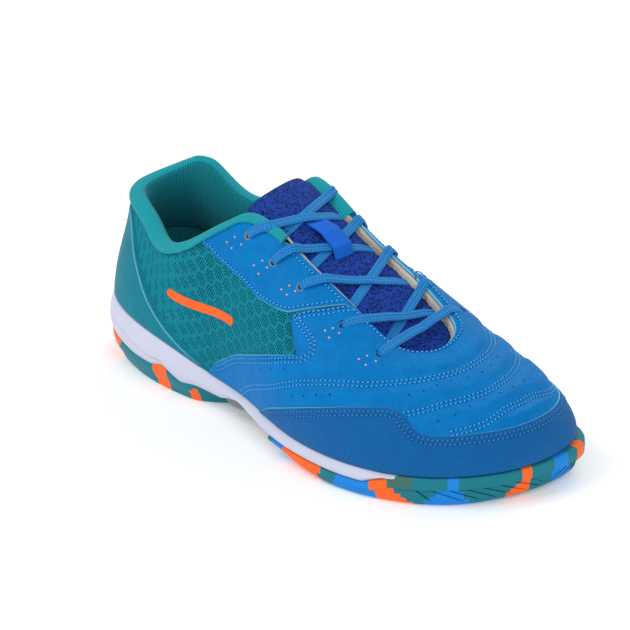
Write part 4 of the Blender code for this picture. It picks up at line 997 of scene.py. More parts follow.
vampSeams = (
    ((4.99, 0.04), (5.26, 0.13), (5.86, 0.26), (6.48, 0.40), (7.13, 0.52), (7.45, 0.57), (8.18, 0.70),
     (9.17, 0.80), (10.0, 0.825), (10.83, 0.80), (11.82, 0.70), (12.55, 0.57), (12.87, 0.52), (13.52, 0.40),
     (14.14, 0.26), (14.74, 0.13), (15.01, 0.04)),
    ((8.05, 0.47), (8.38, 0.52), (8.97, 0.60), (9.62, 0.64), (10.20, 0.66), (10.8, 0.655), (11.3, 0.62),
     (11.95, 0.48)),
    ((8.69, 0.37), (9.20, 0.42), (9.84, 0.50), (10.30, 0.50), (10.80, 0.44), (11.31, 0.37)),
)
panel = {
    "leather": 0.0011,  # thicknesses
    "suede": 0.0012,
    "counter": 0.0009,
    "base": 0.0003,  # how far a panel's underside lies off the wall
    "puff": 0.0013,  # how high the padding swells between seams
    "radius": 0.0006,  # of a cut edge
}
eyeletCut = {"radius": 2.1 * mm, "depth": 12 * mm}


def bothSides(parts):
    return list(parts) + [(mirrorRows(low), mirrorRows(high), count) for low, high, count in reversed(parts)]


guardTop = outlines["guardRear"] + outlines["guardSide"][1:] + outlines["guardFront"][1:]
seamTargets = np.concatenate([pathPoints(rows, 1.2 * mm)[1]
                              for rows in vampSeams + (guardTop, mirrorRows(guardTop))])


def vampRelief(station, share):
    # the padding swells between the double seams
    away = nearest(onWall(station, share), seamTargets)
    swell = panel["puff"] * smoothStep((away - 1.2 * mm) / (5.5 * mm))
    front = smoothStep((station - 5.0) / 1.6) * smoothStep((15.0 - station) / 1.6)
    return swell * front


def guardEdge(outline, share, width):
    # the suede lies over the leather at its upper edge, so it stands higher there
    fromTop = (1 - share) * width[:, None]
    return 0.0007 * np.exp(-fromTop / (5 * mm)) * roundedRise(fromTop, 0.5 * mm) * roundedRise(share, 0.2)


def makePanels():
    # each panel is ruled between a low and a high outline, in parts; the vamp runs under the guard's edge
    foot = outlines["foot"]
    rear, side, front = outlines["guardRear"], outlines["guardSide"], outlines["guardFront"]
    guard = [(levelRows(rear[0][0], rear[-1][0], foot), rear, 60),
             (levelRows(side[0][0], side[-1][0], foot), side, 24),
             (levelRows(front[0][0], front[-1][0], foot), front, 130)]
    shape = panelShape(bothSides(guard), 26, panel["base"], panel["suede"], panel["radius"],
                       edgeRise=guardEdge)
    addPiece("toeGuardSuede", shape, [finishes["suede"], finishes["cutEdge"]], ["toe_guard"])
    tucked = [[(station, max(share - 0.03, foot)) for station, share in rows] for rows in (rear, side, front)]
    tip, wing, notch = outlines["wingTip"], outlines["wingRear"], outlines["wingNotch"]
    vamp = [(levelRows(tip[0][0], rear[0][0], foot), tip, 30),
            (tucked[0], wing, 50),
            (tucked[1], notch, 60),
            (tucked[2], levelRows(notch[-1][0], half, 1.0), 130)]
    shape = panelShape(bothSides(vamp), 66, panel["base"], panel["leather"], panel["radius"], vampRelief)
    pieces = [addPiece("vampLeather", shape, [finishes["vamp"], finishes["cutEdge"]],
                       ["vamp_overlay"])]
    low = outlines["eyestayLow"]
    stay = [(((low[0][0], 0.935),) + low[1:], outlines["eyestayTop"], 140)]
    for name, parts, node in (("eyestayOuterLeather", stay, "eyestay_outer"),
                              ("eyestayInnerLeather", [(mirrorRows(stay[0][0]), mirrorRows(stay[0][1]), 140)],
                               "eyestay_inner")):
        shape = panelShape(parts, 34, panel["base"], panel["leather"], panel["radius"])
        pieces.append(addPiece(name, shape, [finishes["vamp"], finishes["cutEdge"]], [node]))
    top = outlines["counterTop"]
    backwards = mirrorRows([(station + stations, share) for station, share in top])
    counter = [(levelRows(-top[-1][0], 0, foot), backwards, 90),
               (levelRows(0, top[-1][0], foot), top, 90)]
    shape = panelShape(counter, 30, panel["base"], panel["counter"], panel["radius"])
    addPiece("heelCounterLeather", shape, [finishes["counter"], finishes["cutEdge"]],
             ["heel_counter"])
    # a tape over the seam where the two meshes meet at the back
    tape = [(outlines["tapeLow"], outlines["tapeTop"], 14)]
    shape = panelShape(tape, 14, panel["base"], panel["counter"] + 0.0003, panel["radius"])
    bmesh.ops.holes_fill(shape, edges=[edge for edge in shape.edges if edge.is_boundary], sides=0)
    addPiece("heelTape", shape, [finishes["counter"], finishes["cutEdge"]])
    return pieces


def makeShell():
    # the wall itself: what shows through the mesh, its outer face painted near-black as painted shade in the
    # holes, and the lining seen inside the collar
    station = np.linspace(0, stations, 241)
    share = np.linspace(0, 1, 25)[None, :] * (1 - collarDrop(station)[:, None])
    station = np.repeat(station[:, None], share.shape[1], 1)
    outer, inner = onWall(station, share), onWall(station, share, -last["wall"])
    points = np.concatenate([outer, inner[:, ::-1], outer[:, :1]], axis=1)
    slots = np.zeros((len(points) - 1, points.shape[1] - 1), int)
    # the inner face takes the darker lining knit: painted shade inside the shoe
    slots[:, share.shape[1]:] = 1
    shape = gridShape(points, surfaceUv(points), slots)
    return addPiece("upperShell", shape, [finishes["backingShade"], finishes["lining"]], ["upper"])


def punchEyelets(pieces):
    # one cutter of ten posts, taken out of each panel by a Boolean that is then applied
    matrices = []
    for rows in (eyelets, mirrorRows(eyelets)):
        for station, share in rows:
            normal = wallNormal(np.array(station), np.array(share))
            run = unit(np.cross(normal, (0.0, 0.0, 1.0)))
            matrices.append(frameMatrix(onWall(station, share), run, normal))
    post = bmesh.new()
    bmesh.ops.create_cone(post, cap_ends=True, segments=24, radius1=eyeletCut["radius"],
                          radius2=eyeletCut["radius"], depth=eyeletCut["depth"])
    cutterMesh = bpy.data.meshes.new("eyeletCutter")
    shape = scattered(post, matrices)
    shape.to_mesh(cutterMesh)
    shape.free()
    cutter = bpy.data.objects.new("eyeletCutter", cutterMesh)
    bpy.context.scene.collection.objects.link(cutter)
    for piece in pieces:
        step = piece.modifiers.new("eyelets", "BOOLEAN")
        step.operation = "DIFFERENCE"
        step.solver = "EXACT"
        step.object = cutter
        bpy.context.view_layer.update()
        ready = piece.evaluated_get(bpy.context.evaluated_depsgraph_get())
        punched = bpy.data.meshes.new_from_object(ready)
        piece.modifiers.clear()
        piece.data = punched
    bpy.data.objects.remove(cutter)
    # the cut edge inside each hole: a ring spun from its section, in millimetres
    rim = bmesh.new()
    outline = ((1.75, -1.2), (2.12, -1.2), (2.12, 1.25), (2.02, 1.42), (1.86, 1.42), (1.75, 1.25))
    points = [rim.verts.new((x * mm, 0, z * mm)) for x, z in outline]
    edges = [rim.edges.new((points[k], points[(k + 1) % len(points)])) for k in range(len(points))]
    bmesh.ops.spin(rim, geom=points + edges, cent=(0, 0, 0), axis=(0, 0, 1), angle=2 * math.pi, steps=20,
                   use_merge=True)
    bmesh.ops.recalc_face_normals(rim, faces=rim.faces)
    # the cut edges take the facing lining's finish, with its random grey clouds of painted shade
    addPiece("eyeletCutEdges", scattered(rim, matrices), [finishes["facingLining"]])


panels = makePanels()
shell = makeShell()
print("panels made")
punchEyelets(panels + [shell])
print("eyelets punched")

# The open mesh of the quarters

quarter = {
    "pitchMm": 1.40,  # from cell to cell; the real mesh is a little finer, and this is what shows
    "strandMm": 0.44,
    "cells": (153, 33),
    "span": (-0.04, 7.4),  # stations that the flat sheet is wrapped over
    "thick": 0.00042,
    "lift": 0.00008,
    "dimple": 0.00014,
    "clusterMm": (6.3, 7.275),  # how far apart the groups of open holes stand, in whole cells
    "openMm": (2.8, 3.64),
}


def insideOutline(points, outline):
    inside = np.zeros(len(points), bool)
    for (x1, y1), (x2, y2) in zip(outline, np.roll(outline, -1, axis=0)):
        crosses = (y1 > points[:, 1]) != (y2 > points[:, 1])
        inside ^= crosses & (points[:, 0] < (x2 - x1) * (points[:, 1] - y1) / (y2 - y1 + 1e-12) + x1)
    return inside


def quarterOutline():
    # what shows between the counter, the facing and the wing, with a margin that runs under them
    counter = [(max(station - 0.12, -0.03), share - 0.02) for station, share in outlines["counterTop"]]
    wing = [(station + 0.12, share - 0.02) for station, share in
            outlines["wingTip"] + outlines["wingRear"][1:] + outlines["wingNotch"][1:5]]
    stay = [(station, min(share + 0.04, 0.92)) for station, share in reversed(outlines["eyestayLow"][:8])]
    collarLine = [(3.9, 0.92), (3.0, 0.92), (2.0, 0.92), (1.0, 0.92), (-0.03, 0.92)]
    return np.array(counter + wing + stay + collarLine)


def flatHoneycomb():
    # a flat sheet of six-sided cells, each with its strands and the face that closes it
    pitch = quarter["pitchMm"] * mm
    cell = bmesh.new()
    for place in ((0.0, 0.0), (pitch / 2, pitch * math.sqrt(3) / 2)):
        bmesh.ops.create_circle(cell, cap_ends=True, segments=6, radius=pitch / math.sqrt(3),
                                matrix=Matrix.Translation((*place, 0.0)))
    bmesh.ops.inset_individual(cell, faces=list(cell.faces), thickness=quarter["strandMm"] * mm / 2)
    cellMesh = bpy.data.meshes.new("meshCell")
    cell.to_mesh(cellMesh)
    cell.free()
    cloth = bpy.data.objects.new("meshCell", cellMesh)
    bpy.context.scene.collection.objects.link(cloth)
    for axis, step in ((0, pitch), (1, pitch * math.sqrt(3))):
        array = cloth.modifiers.new("rows", "ARRAY")
        array.count = quarter["cells"][axis]
        array.use_relative_offset = False
        array.use_constant_offset = True
        array.constant_offset_displace = [step if k == axis else 0.0 for k in range(3)]
        array.use_merge_vertices = True
        array.merge_threshold = 1e-5
    bpy.context.view_layer.update()
    flat = bpy.data.meshes.new_from_object(cloth.evaluated_get(bpy.context.evaluated_depsgraph_get()))
    bpy.data.objects.remove(cloth)
    shape = bmesh.new()
    shape.from_mesh(flat)
    bpy.data.meshes.remove(flat)
    return shape


def openClusters(shape):
    # the cells in staggered diamond groups are open; the rest are knitted shut, with a dimple and a darker
    # finish that is painted shade in it
    cells = [face for face in shape.faces if len(face.verts) == 6]
    centre = np.array([face.calc_center_median()[:2] for face in cells]) / mm
    across, tall = quarter["clusterMm"]
    column = np.rint(centre[:, 0] / across)
    beside = np.abs(centre[:, 0] - column * across)
    shifted = centre[:, 1] - (column % 2) * tall / 2
    above = np.abs(shifted - np.rint(shifted / tall) * tall)
    grown = 0.75 + 0.42 * smoothStep((centre[:, 0] - 30) / 80)
    isOpen = beside / quarter["openMm"][0] + above / quarter["openMm"][1] < grown
    shut = {vert for face, gone in zip(cells, isOpen) if not gone for vert in face.verts}
    for face, gone in zip(cells, isOpen):
        face.material_index = 0 if gone else 1
    bmesh.ops.translate(shape, vec=(0.0, 0.0, -quarter["dimple"]), verts=list(shut))
    bmesh.ops.delete(shape, geom=[face for face, gone in zip(cells, isOpen) if gone], context="FACES_ONLY")


def wrapFlat(places):
    # flat places become stations along the wall at half height, then shares up it
    line, shares = np.linspace(*quarter["span"], 760), np.linspace(0, 1.02, 120)
    reach = lengthsAlong(onWall(line, 0.45))
    heights = lengthsAlong(onWall(line[None, :], shares[:, None]))
    station = np.interp(places[:, 0], reach, line)
    column = np.clip(np.searchsorted(line, station), 0, len(line) - 1)
    share = np.array([np.interp(y, heights[:, c], shares) for y, c in zip(places[:, 1], column)])
    return station, share


def makeQuarterMesh():
    # the sheet is cut out and given its thickness while flat, then wrapped round either side
    shape = flatHoneycomb()
    openClusters(shape)
    station, share = wrapFlat(np.array([vert.co for vert in shape.verts]))
    kept = insideOutline(np.stack([station, share], 1), quarterOutline())
    outside = [vert for vert, keep in zip(list(shape.verts), kept) if not keep]
    bmesh.ops.delete(shape, geom=outside, context="VERTS")
    loose = [vert for vert in shape.verts if not vert.link_faces]
    bmesh.ops.delete(shape, geom=loose, context="VERTS")
    raised = bmesh.ops.extrude_face_region(shape, geom=shape.faces[:], use_keep_orig=True)["geom"]
    top = [item for item in raised if isinstance(item, bmesh.types.BMVert)]
    bmesh.ops.translate(shape, vec=(0.0, 0.0, quarter["thick"]), verts=top)
    bmesh.ops.recalc_face_normals(shape, faces=shape.faces)
    flat = np.array([vert.co for vert in shape.verts])
    station, share = wrapFlat(flat)
    for name, sides in (("quarterMeshOuter", station), ("quarterMeshInner", stations - station)):
        side = shape.copy()
        for vert, place in zip(side.verts, onWall(sides, share, quarter["lift"] + flat[:, 2]).tolist()):
            vert.co = place
        if name == "quarterMeshInner":
            bmesh.ops.reverse_faces(side, faces=side.faces)
        addPiece(name, side, [finishes["strand"], finishes["dimple"]], sharp=1.2)
    shape.free()


makeQuarterMesh()
print("quarter mesh made")

# Collar, tongue and the linings

tongue = {
    "front": 9.35,  # the pairs of stations between which it lies under the facings
    "top": 5.25,
    "reach": 0.0105,  # how far its free end stands out past the last pair
    "bend": 6.0,
    "thick": 0.0044,
    "under": 0.0042,
    "dome": 0.38,
}


def makeCollar():
    # one padded ring: up the outside of the wall, over the roll and down inside, thin towards the throat
    signed = np.linspace(-collar["end"], collar["end"], 290)
    station, fromHeel = signed + stations, np.abs(signed)
    atThroat = smoothStep((fromHeel - 4.9) / 0.6)
    onStay = smoothStep((fromHeel - 3.95) / 0.25)
    full = smoothStep((5.35 - fromHeel) / 0.9)[:, None]
    edge = 1 - collarDrop(station)
    line = edge - 0.012 - 0.040 * atThroat
    roll = ((collar["roll"] + curveThrough(collar["raise"], signed)) * (1 - 0.72 * atThroat))[:, None]
    inside = -(last["wall"] + 0.00045)
    tall = (sectionAt(station)[..., 5] - sectionAt(station)[..., 2])
    depth = collar["endDepth"] + (collar["depth"] - collar["endDepth"]) * smoothStep((5.1 - fromHeel) / 1.3)
    deep = edge - depth / tall
    top = onWall(station, edge)
    up = unit(top - onWall(station, edge - 0.05))
    out = wallNormal(station, edge)
    base = 0.0002 + (panel["base"] + panel["leather"]) * onStay
    ring = [onWall(station, line, base)]
    for share, lift in ((0.08, 0.0006), (0.35, 0.0011), (0.7, 0.0013)):
        ring.append(onWall(station, line + (edge - line) * share, base + lift))
    for shift, lift in ((0.0014, 0.06), (0.0015, 0.28), (0.0013, 0.52), (0.0005, 0.78), (-0.0009, 0.94),
                        (-0.0022, 1.00)):
        ring.append(top + out * (shift + base[:, None] * (1 - lift)) + up * lift * roll)
    for shift, lift in ((-0.0016, 0.98), (-0.0033, 0.82), (-0.0046, 0.50)):
        pad = shift * full - 0.9 * (1 - full) * collar["edge"]
        ring.append(top + out * (inside + pad) + up * lift * roll)
    for share, thick in ((0.05, 1.08), (0.2, 1.14), (0.4, 1.06), (0.6, 0.85), (0.78, 0.6), (0.9, 0.4),
                         (1.0, 0.1)):
        pad = np.maximum(thick * collar["thick"] * full[:, 0], 1.7 * collar["edge"] * min(1, thick))
        ring.append(onWall(station, edge + (deep - edge) * share, inside - pad))
    for share in (0.98, 0.6, 0.2):
        ring.append(onWall(station, edge + (deep - edge) * share, inside))
    ring.append(top + out * inside + up * 0.0002)
    ring.append(ring[0])
    points = np.stack(ring, 1)
    slots = np.zeros((len(points) - 1, points.shape[1] - 1), int)
    # the inside of the ring takes the darker lining knit: painted shade inside the collar
    slots[:, 11:] = 1
    shape = gridShape(points, surfaceUv(points), slots, capEnds=True)
    piece = addPiece("collarPadding", shape, [finishes["collar"], finishes["lining"]],
                     ["collar_lining"])


def tonguePoint(pair, across):
    # the tongue's top face: across is -1 at the outer facing's edge and 1 at the inner one's
    pair, across = np.broadcast_arrays(np.asarray(pair, float), np.asarray(across, float))
    ends, slopes = [], []
    for station in (pair, stations - pair):
        edge = onWall(station, 1.0, -tongue["under"])
        ends.append(edge)
        slopes.append(unit(edge - onWall(station, 0.97, -tongue["under"])))
    pull = tongue["dome"] * np.linalg.norm(ends[1] - ends[0], axis=-1, keepdims=True)
    t = np.clip((across + 1) / 2, 0, 1)[..., None]
    middle = ((2 * t**3 - 3 * t**2 + 1) * ends[0] + (t**3 - 2 * t**2 + t) * pull * slopes[0]
              + (3 * t**2 - 2 * t**3) * ends[1] - (t**3 - t**2) * pull * slopes[1])
    past = np.maximum(np.abs(across) - 1, 0)
    side = onWall(np.where(across < 0, pair, stations - pair), 1 - past, -tongue["under"])
    return np.where(past[..., None] > 0, side, middle)


def overTongue(pair, across, lift):
    # a place over the tongue, and the way up from it
    pair, across = np.asarray(pair, float), np.asarray(across, float)
    run = tonguePoint(pair + 0.02, across) - tonguePoint(pair - 0.02, across)
    over = tonguePoint(pair, across + 0.02) - tonguePoint(pair, across - 0.02)
    up = unit(np.cross(run, over))
    up = up * np.sign(up[..., 2:3])
    return tonguePoint(pair, across) + up * np.asarray(lift)[..., None], up


def makeTongue():
    pairs = np.linspace(tongue["front"], tongue["top"], 90)
    across = np.linspace(-1.16, 1.16, 49)
    top, normal = overTongue(pairs[:, None] + 0 * across, across + 0 * pairs[:, None], np.zeros((90, 49)))
    centre, lean = overTongue(tongue["top"], 0.0, 0.0)
    run = unit(centre - overTongue(tongue["top"] + 0.1, 0.0, 0.0)[0])
    sideRuns = [unit(onWall(start, 0.97) - onWall(start + step, 0.97))
                for start, step in ((tongue["top"] - 0.3, 0.3), (stations - tongue["top"] + 0.3, -0.3))]
    # past the last pair the tongue is a free flap with a rounded end that bends back a little
    for turn in np.linspace(0, 0.485 * math.pi, 26)[1:]:
        width, reach = math.cos(turn) ** 0.45, tongue["reach"] * math.sin(turn) ** 0.7
        row, facing = overTongue(tongue["top"] + 0 * across, across * width, 0 * across)
        aside = np.clip(np.abs(across * width), 0, 1)[:, None] ** 2
        beside = np.where(across[:, None] < 0, sideRuns[0], sideRuns[1])
        row = row + unit(run * (1 - aside) + beside * aside) * reach * (1 + 0.35 * aside)
        row = row - lean * tongue["bend"] * reach**2
        top, normal = np.concatenate([top, row[None]]), np.concatenate([normal, facing[None]])
    halfWide = np.linalg.norm(top[:, -1] - top[:, 0], axis=1) / 2
    fromSide = (1.16 - np.abs(across))[None, :] / 1.16 * halfWide[:, None]
    fromTip = lengthsAlong(top[::-1].mean(axis=1)[:, None])[::-1] + 0 * fromSide
    rim = roundedRise(np.minimum(fromSide, fromTip), 2.4 * mm)
    swell = 0.0008 * smoothStep(fromTip / (9 * mm)) * smoothStep(fromSide / (8 * mm))
    upper = top + normal * (swell + (rim - 1) * 0.0020)[..., None]
    lower = top - normal * (tongue["thick"] - (1 - rim) * 0.0022)[..., None]
    middle = (upper[:, :1] + lower[:, :1]) / 2, (upper[:, -1:] + lower[:, -1:]) / 2
    points = np.concatenate([middle[0], upper, middle[1], lower[:, ::-1], middle[0]], axis=1)
    slots = np.zeros((len(points) - 1, points.shape[1] - 1), int)
    # the underside takes the darker lining knit: painted shade under the tongue
    slots[:, 51:] = 1
    shape = gridShape(points[:, ::-1], surfaceUv(points)[:, ::-1], slots[:, ::-1], capEnds=True)
    bmesh.ops.recalc_face_normals(shape, faces=shape.faces)
    piece = addPiece("tonguePadding", shape, [finishes["tongue"], finishes["lining"]],
                     ["tongue"])


def makeFacingLining():
    # the folded lining that shows as a pale band under the facings' edge, all round the throat
    station = np.linspace(collar["end"] - 0.12, stations - collar["end"] + 0.12, 260)
    edge = onWall(station, 1.0)
    up = unit(edge - onWall(station, 0.96))
    out = wallNormal(station, np.ones_like(station))
    wrinkle = (0.00016 * np.sin(station * 23.0) + 0.00013 * np.sin(station * 57.0 + 1.0))[:, None]
    fold = ((0.0, 0.0, 0.0), (-0.0002, 0.0005, 0.0), (-0.0009, 0.0010, 0.5), (-0.0017, 0.0011, 1.0),
            (-0.0021, 0.0006, 1.0), (-0.0024, 0.0006, 1.0), (-0.0028, 0.0010, 1.0), (-0.0035, 0.0006, 1.0),
            (-0.0039, -0.0006, 1.0), (-0.0038, -0.0035, 0.6), (-0.0028, -0.0062, 0.3),
            (-0.0021, -0.0064, 0.0), (-0.0019, -0.0010, 0.0), (0.0, 0.0, 0.0))
    ring = [edge + out * (shift - wrinkle * loose) + up * (lift + 0.6 * wrinkle * loose)
            for shift, lift, loose in fold]
    points = np.stack(ring, 1)
    shape = gridShape(points, surfaceUv(points), capEnds=True)
    bmesh.ops.recalc_face_normals(shape, faces=shape.faces)
    addPiece("facingLiningFold", shape, [finishes["facingLining"]])


makeCollar()
makeTongue()
makeFacingLining()
print("collar and tongue made")

# The lace and its keeper

lace = {"width": 0.0047, "thick": 0.0016, "hole": 0.0038, "spacing": 0.0007}
# where the lace from each eyelet passes over the throat's edge
laceOver = {"outer": (5.47, 5.92, 6.50, 7.34, 8.05), "inner": (5.38, 5.84, 6.38, 7.20, 8.05)}


def hermitePath(points, spacing):
    # even steps along a smooth path through rows of place, facing and width
    points = np.array(points, float)
    length = lengthsAlong(points[:, :3])
    slope = np.gradient(points, length, axis=0)
    at = np.linspace(0, length[-1], int(length[-1] / spacing))
    i = np.clip(np.searchsorted(length, at, side="right") - 1, 0, len(length) - 2)
    step = (length[i + 1] - length[i])[:, None]
    t = (at[:, None] - length[i][:, None]) / step
    return ((2 * t**3 - 3 * t**2 + 1) * points[i] + (t**3 - 2 * t**2 + t) * step * slope[i]
            + (3 * t**2 - 2 * t**3) * points[i + 1] + (t**3 - t**2) * step * slope[i + 1])


def laceRow(place, up, width):
    return np.concatenate([place, up, [width]])


def eyeletRows(number, edgePair, inner, sign):
    # in from the throat's edge, flat on the facing, then turning down through the eyelet
    pair, share = eyelets[number]
    place = [stations - at if inner else at for at in (pair, edgePair)]
    run = unit(onWall(place[1], 0.985) - onWall(place[0], share))
    top = panel["base"] + panel["leather"] + lace["thick"] / 2
    full, hole = lace["width"], lace["hole"]
    rows = []
    for t, lift, width, tip in ((1.0, top + 0.0005, full, 0.0), (0.55, top + 0.0003, full, 0.0),
                                (0.26, top + 0.0002, full * 0.97, 0.1),
                                (0.08, top - 0.0004, hole * 1.06, 0.75), (-0.02, -0.0004, hole, 1.45),
                                (0.0, -0.0028, hole, 2.2)):
        station, up = place[0] + (place[1] - place[0]) * t, share + (0.985 - share) * t
        normal = wallNormal(np.array(station), np.array(up))
        facing = unit(normal * math.cos(tip) - run * math.sin(tip))
        rows.append(laceRow(onWall(station, up, lift), sign * facing, width))
    return rows


def underRow(pair, inner, sign, share, lift, width):
    station = stations - pair if inner else pair
    return laceRow(onWall(station, share, lift), sign * wallNormal(np.array(station), np.array(share)), width)


def farCrossing(start, end, inner):
    # where the straight line between two eyelets, seen from above, meets the far edge of the throat
    station = np.linspace(4.9, 8.8, 400)
    edge = onWall(station if inner else stations - station, 0.985)[:, :2]
    away = (edge[:, 0] - start[0]) * (end[1] - start[1]) - (edge[:, 1] - start[1]) * (end[0] - start[0])
    k = int(np.argmax(np.diff(np.sign(away)) != 0))
    return station[k] + (station[k + 1] - station[k]) * away[k] / (away[k] - away[k + 1])


def chordRows(near, far, clear, sign):
    # the lace hangs straight from one edge to the other, and stays clear of the tongue
    rows = []
    (nearPair, nearPlace, nearSide), (farPair, farPlace) = near, far
    for t, need in zip((0.16, 0.33, 0.5, 0.67, 0.84), clear):
        base, up = overTongue(nearPair + (farPair - nearPair) * t, nearSide * (1 - 2 * t), 0.0)
        place = nearPlace + (farPlace - nearPlace) * t
        height = float(((place - base) * up).sum())
        target = need if t == 0.5 else max(height, need)
        rows.append(laceRow(place + up * (target - height), sign * up, lace["width"]))
    return rows


def strandRows(lower, upper, inner, sign, over):
    # from under one facing at the lower pair, over the tongue, and into the other facing's upper eyelet
    (first, firstShare), (final, finalShare) = eyelets[lower], eyelets[upper]
    start = onWall(stations - final if inner else final, finalShare)
    end = onWall(first if inner else stations - first, firstShare)
    farPair = farCrossing(start, end, inner)
    nearPair = laceOver["inner" if inner else "outer"][upper]
    top = panel["base"] + panel["leather"] + lace["thick"] / 2
    nearPlace = onWall(stations - nearPair if inner else nearPair, 0.985, top + 0.0004)
    farPlace = onWall(farPair if inner else stations - farPair, 0.985, -0.0036)
    near, far = (nearPair, nearPlace, 1.0 if inner else -1.0), (farPair, farPlace)
    clear = (0.0028, 0.0024, 0.0025, 0.0015, 0.0010) if over else (0.0026, 0.0016, 0.0010, 0.0009, 0.0009)
    rows = [underRow(first, not inner, sign, firstShare + 0.045, -0.0030, lace["hole"] * 1.1),
            underRow(farPair, not inner, sign, 0.975, -0.0036, lace["width"] * 0.96)]
    return rows + chordRows(near, far, clear, sign)[::-1] + eyeletRows(upper, nearPair, inner, sign)


def lacePath():
    # the strands that end on the outer side lie over the others
    rows = []
    sign = 1.0
    for upper, inner in ((0, True), (1, False), (2, True), (3, False)):
        rows += strandRows(upper + 1, upper, inner, sign, not inner)[::-1]
        sign = -sign
    outPair, inPair = laceOver["outer"][4], laceOver["inner"][4]
    top = panel["base"] + panel["leather"] + lace["thick"] / 2 + 0.0004
    near = (outPair, onWall(outPair, 0.985, top), -1.0)
    far = (inPair, onWall(stations - inPair, 0.985, top))
    rows += eyeletRows(4, inPair, True, sign)[::-1]
    rows += chordRows(near, far, (0.0045, 0.0042, 0.0043, 0.0042, 0.0045), sign)[::-1]
    rows += eyeletRows(4, outPair, False, sign)
    for upper, inner in ((3, True), (2, False), (1, True), (0, False)):
        sign = -sign
        rows += strandRows(upper + 1, upper, inner, sign, not inner)
    return rows


def bandShape(path, thick, section, ribs=0.0, ribPitch=1.2 * mm):
    # a flat band along places, face directions and widths; section is its outline from the middle
    place, width = path[:, :3], path[:, 6]
    run = unit(np.gradient(place, axis=0))
    side = unit(np.cross(run, path[:, 3:6]))
    up = np.cross(side, run)
    length = lengthsAlong(place)
    swell = 1 + ribs * np.cos(length * 2 * np.pi / ribPitch)
    across, rise = np.array(section, float).T
    ring = (place[:, None] + side[:, None] * (across[None, :, None] * width[:, None, None] / 2)
            + up[:, None] * (rise[None, :, None] * thick / 2 * swell[:, None, None]))
    ring = np.concatenate([ring, ring[:, :1]], axis=1)
    around = np.concatenate([[0], np.cumsum(np.linalg.norm(np.diff(ring[len(ring) // 2], axis=0), axis=1))])
    uv = np.stack(np.broadcast_arrays(length[:, None], around[None, :]), -1) / mm
    return gridShape(ring, uv, capEnds=True)


# the braid's section has a shallow groove down the middle of each face
laceSection = ((0.0, 0.72), (-0.22, 0.96), (-0.5, 1.0), (-0.78, 0.86), (-0.95, 0.5), (-1.0, 0.0),
               (-0.95, -0.5), (-0.78, -0.86), (-0.5, -1.0), (-0.22, -0.96), (0.0, -0.72), (0.22, -0.96),
               (0.5, -1.0), (0.78, -0.86), (0.95, -0.5), (1.0, 0.0), (0.95, 0.5), (0.78, 0.86), (0.5, 1.0),
               (0.22, 0.96))
keeper = {"span": (5.72, 6.25), "width": 0.0118, "thick": 0.0011, "room": 0.0044}


def makeLace():
    path = hermitePath(lacePath(), lace["spacing"])
    shape = bandShape(path, lace["thick"], laceSection)
    bmesh.ops.recalc_face_normals(shape, faces=shape.faces)
    nodes = ["lace_bar"] + [f"lace_cross_{k}" for k in range(1, 5)]
    addPiece("flatLace", shape, [finishes["lace"]], nodes)
    print("lace length in mm:", round(lengthsAlong(path[:, :3])[-1] / mm))


def makeKeeper():
    # a loop of tape that is sewn down at both ends and leaves room for the lace
    start, end = keeper["span"]
    low, room = 0.0006, keeper["room"]
    rows = ((start - 0.02, low), (start + 0.03, low + 0.0010), (start + 0.10, room * 0.70),
            (start + 0.20, room), ((start + end) / 2, room * 1.02), (end - 0.20, room),
            (end - 0.10, room * 0.95), (end - 0.04, room * 0.55), (end + 0.01, low))
    points = []
    for pair, lift in rows:
        place, up = overTongue(pair, 0.0, lift)
        points.append(laceRow(place, up, keeper["width"]))
    path = hermitePath(points, 0.25 * mm)
    section = ((-1.0, 0.6), (-1.0, -0.6), (-0.97, -1.0), (0.0, -1.0), (0.97, -1.0), (1.0, -0.6), (1.0, 0.6),
               (0.97, 1.0), (0.5, 1.0), (0.0, 1.0), (-0.5, 1.0), (-0.97, 1.0))
    shape = bandShape(path, keeper["thick"], section, 0.28)
    bmesh.ops.recalc_face_normals(shape, faces=shape.faces)
    addPiece("laceKeeperWebbing", shape, [finishes["webbing"]], ["lace_keeper"])


makeLace()
makeKeeper()
print("lace made")

# Stitches, welts, dots and pinholes

stitch = {
    "pitch": 2.15 * mm,
    "length": 1.45 * mm,
    "width": 0.62 * mm,
    "height": 0.40 * mm,
    "hole": 0.30 * mm,
    "slant": 0.2,  # radians
    # how far each double seam stands in from its panel's edge
    "guardIn": (2.2 * mm, 4.3 * mm),
    "wingIn": (1.9 * mm, 3.9 * mm),
    "seamApart": 1.0 * mm,
    "throatIn": 2.4 * mm,
}
leatherTop = panel["base"] + panel["leather"]
suedeTop = panel["base"] + panel["suede"]
stitchTop = leatherTop + 0.12 * mm


def seamRows(rows, offset, lift, relief=False):
    # where the stitches of one seam lie, and the needle holes between them
    moved = offsetRows(rows, offset)
    found, places, run, normal = pathPoints(moved, stitch["pitch"])
    high = np.full(len(found), lift)
    if relief:
        high = high + vampRelief(found[:, 0], found[:, 1])
    places = onWall(found[:, 0], found[:, 1], high)
    run = unit(np.gradient(places, axis=0))
    between = (places[:-1] + places[1:]) / 2
    return ([frameMatrix(p, r, n) for p, r, n in zip(places, run, normal)],
            [frameMatrix(p, r, n) for p, r, n in zip(between, run[:-1], normal[:-1])])


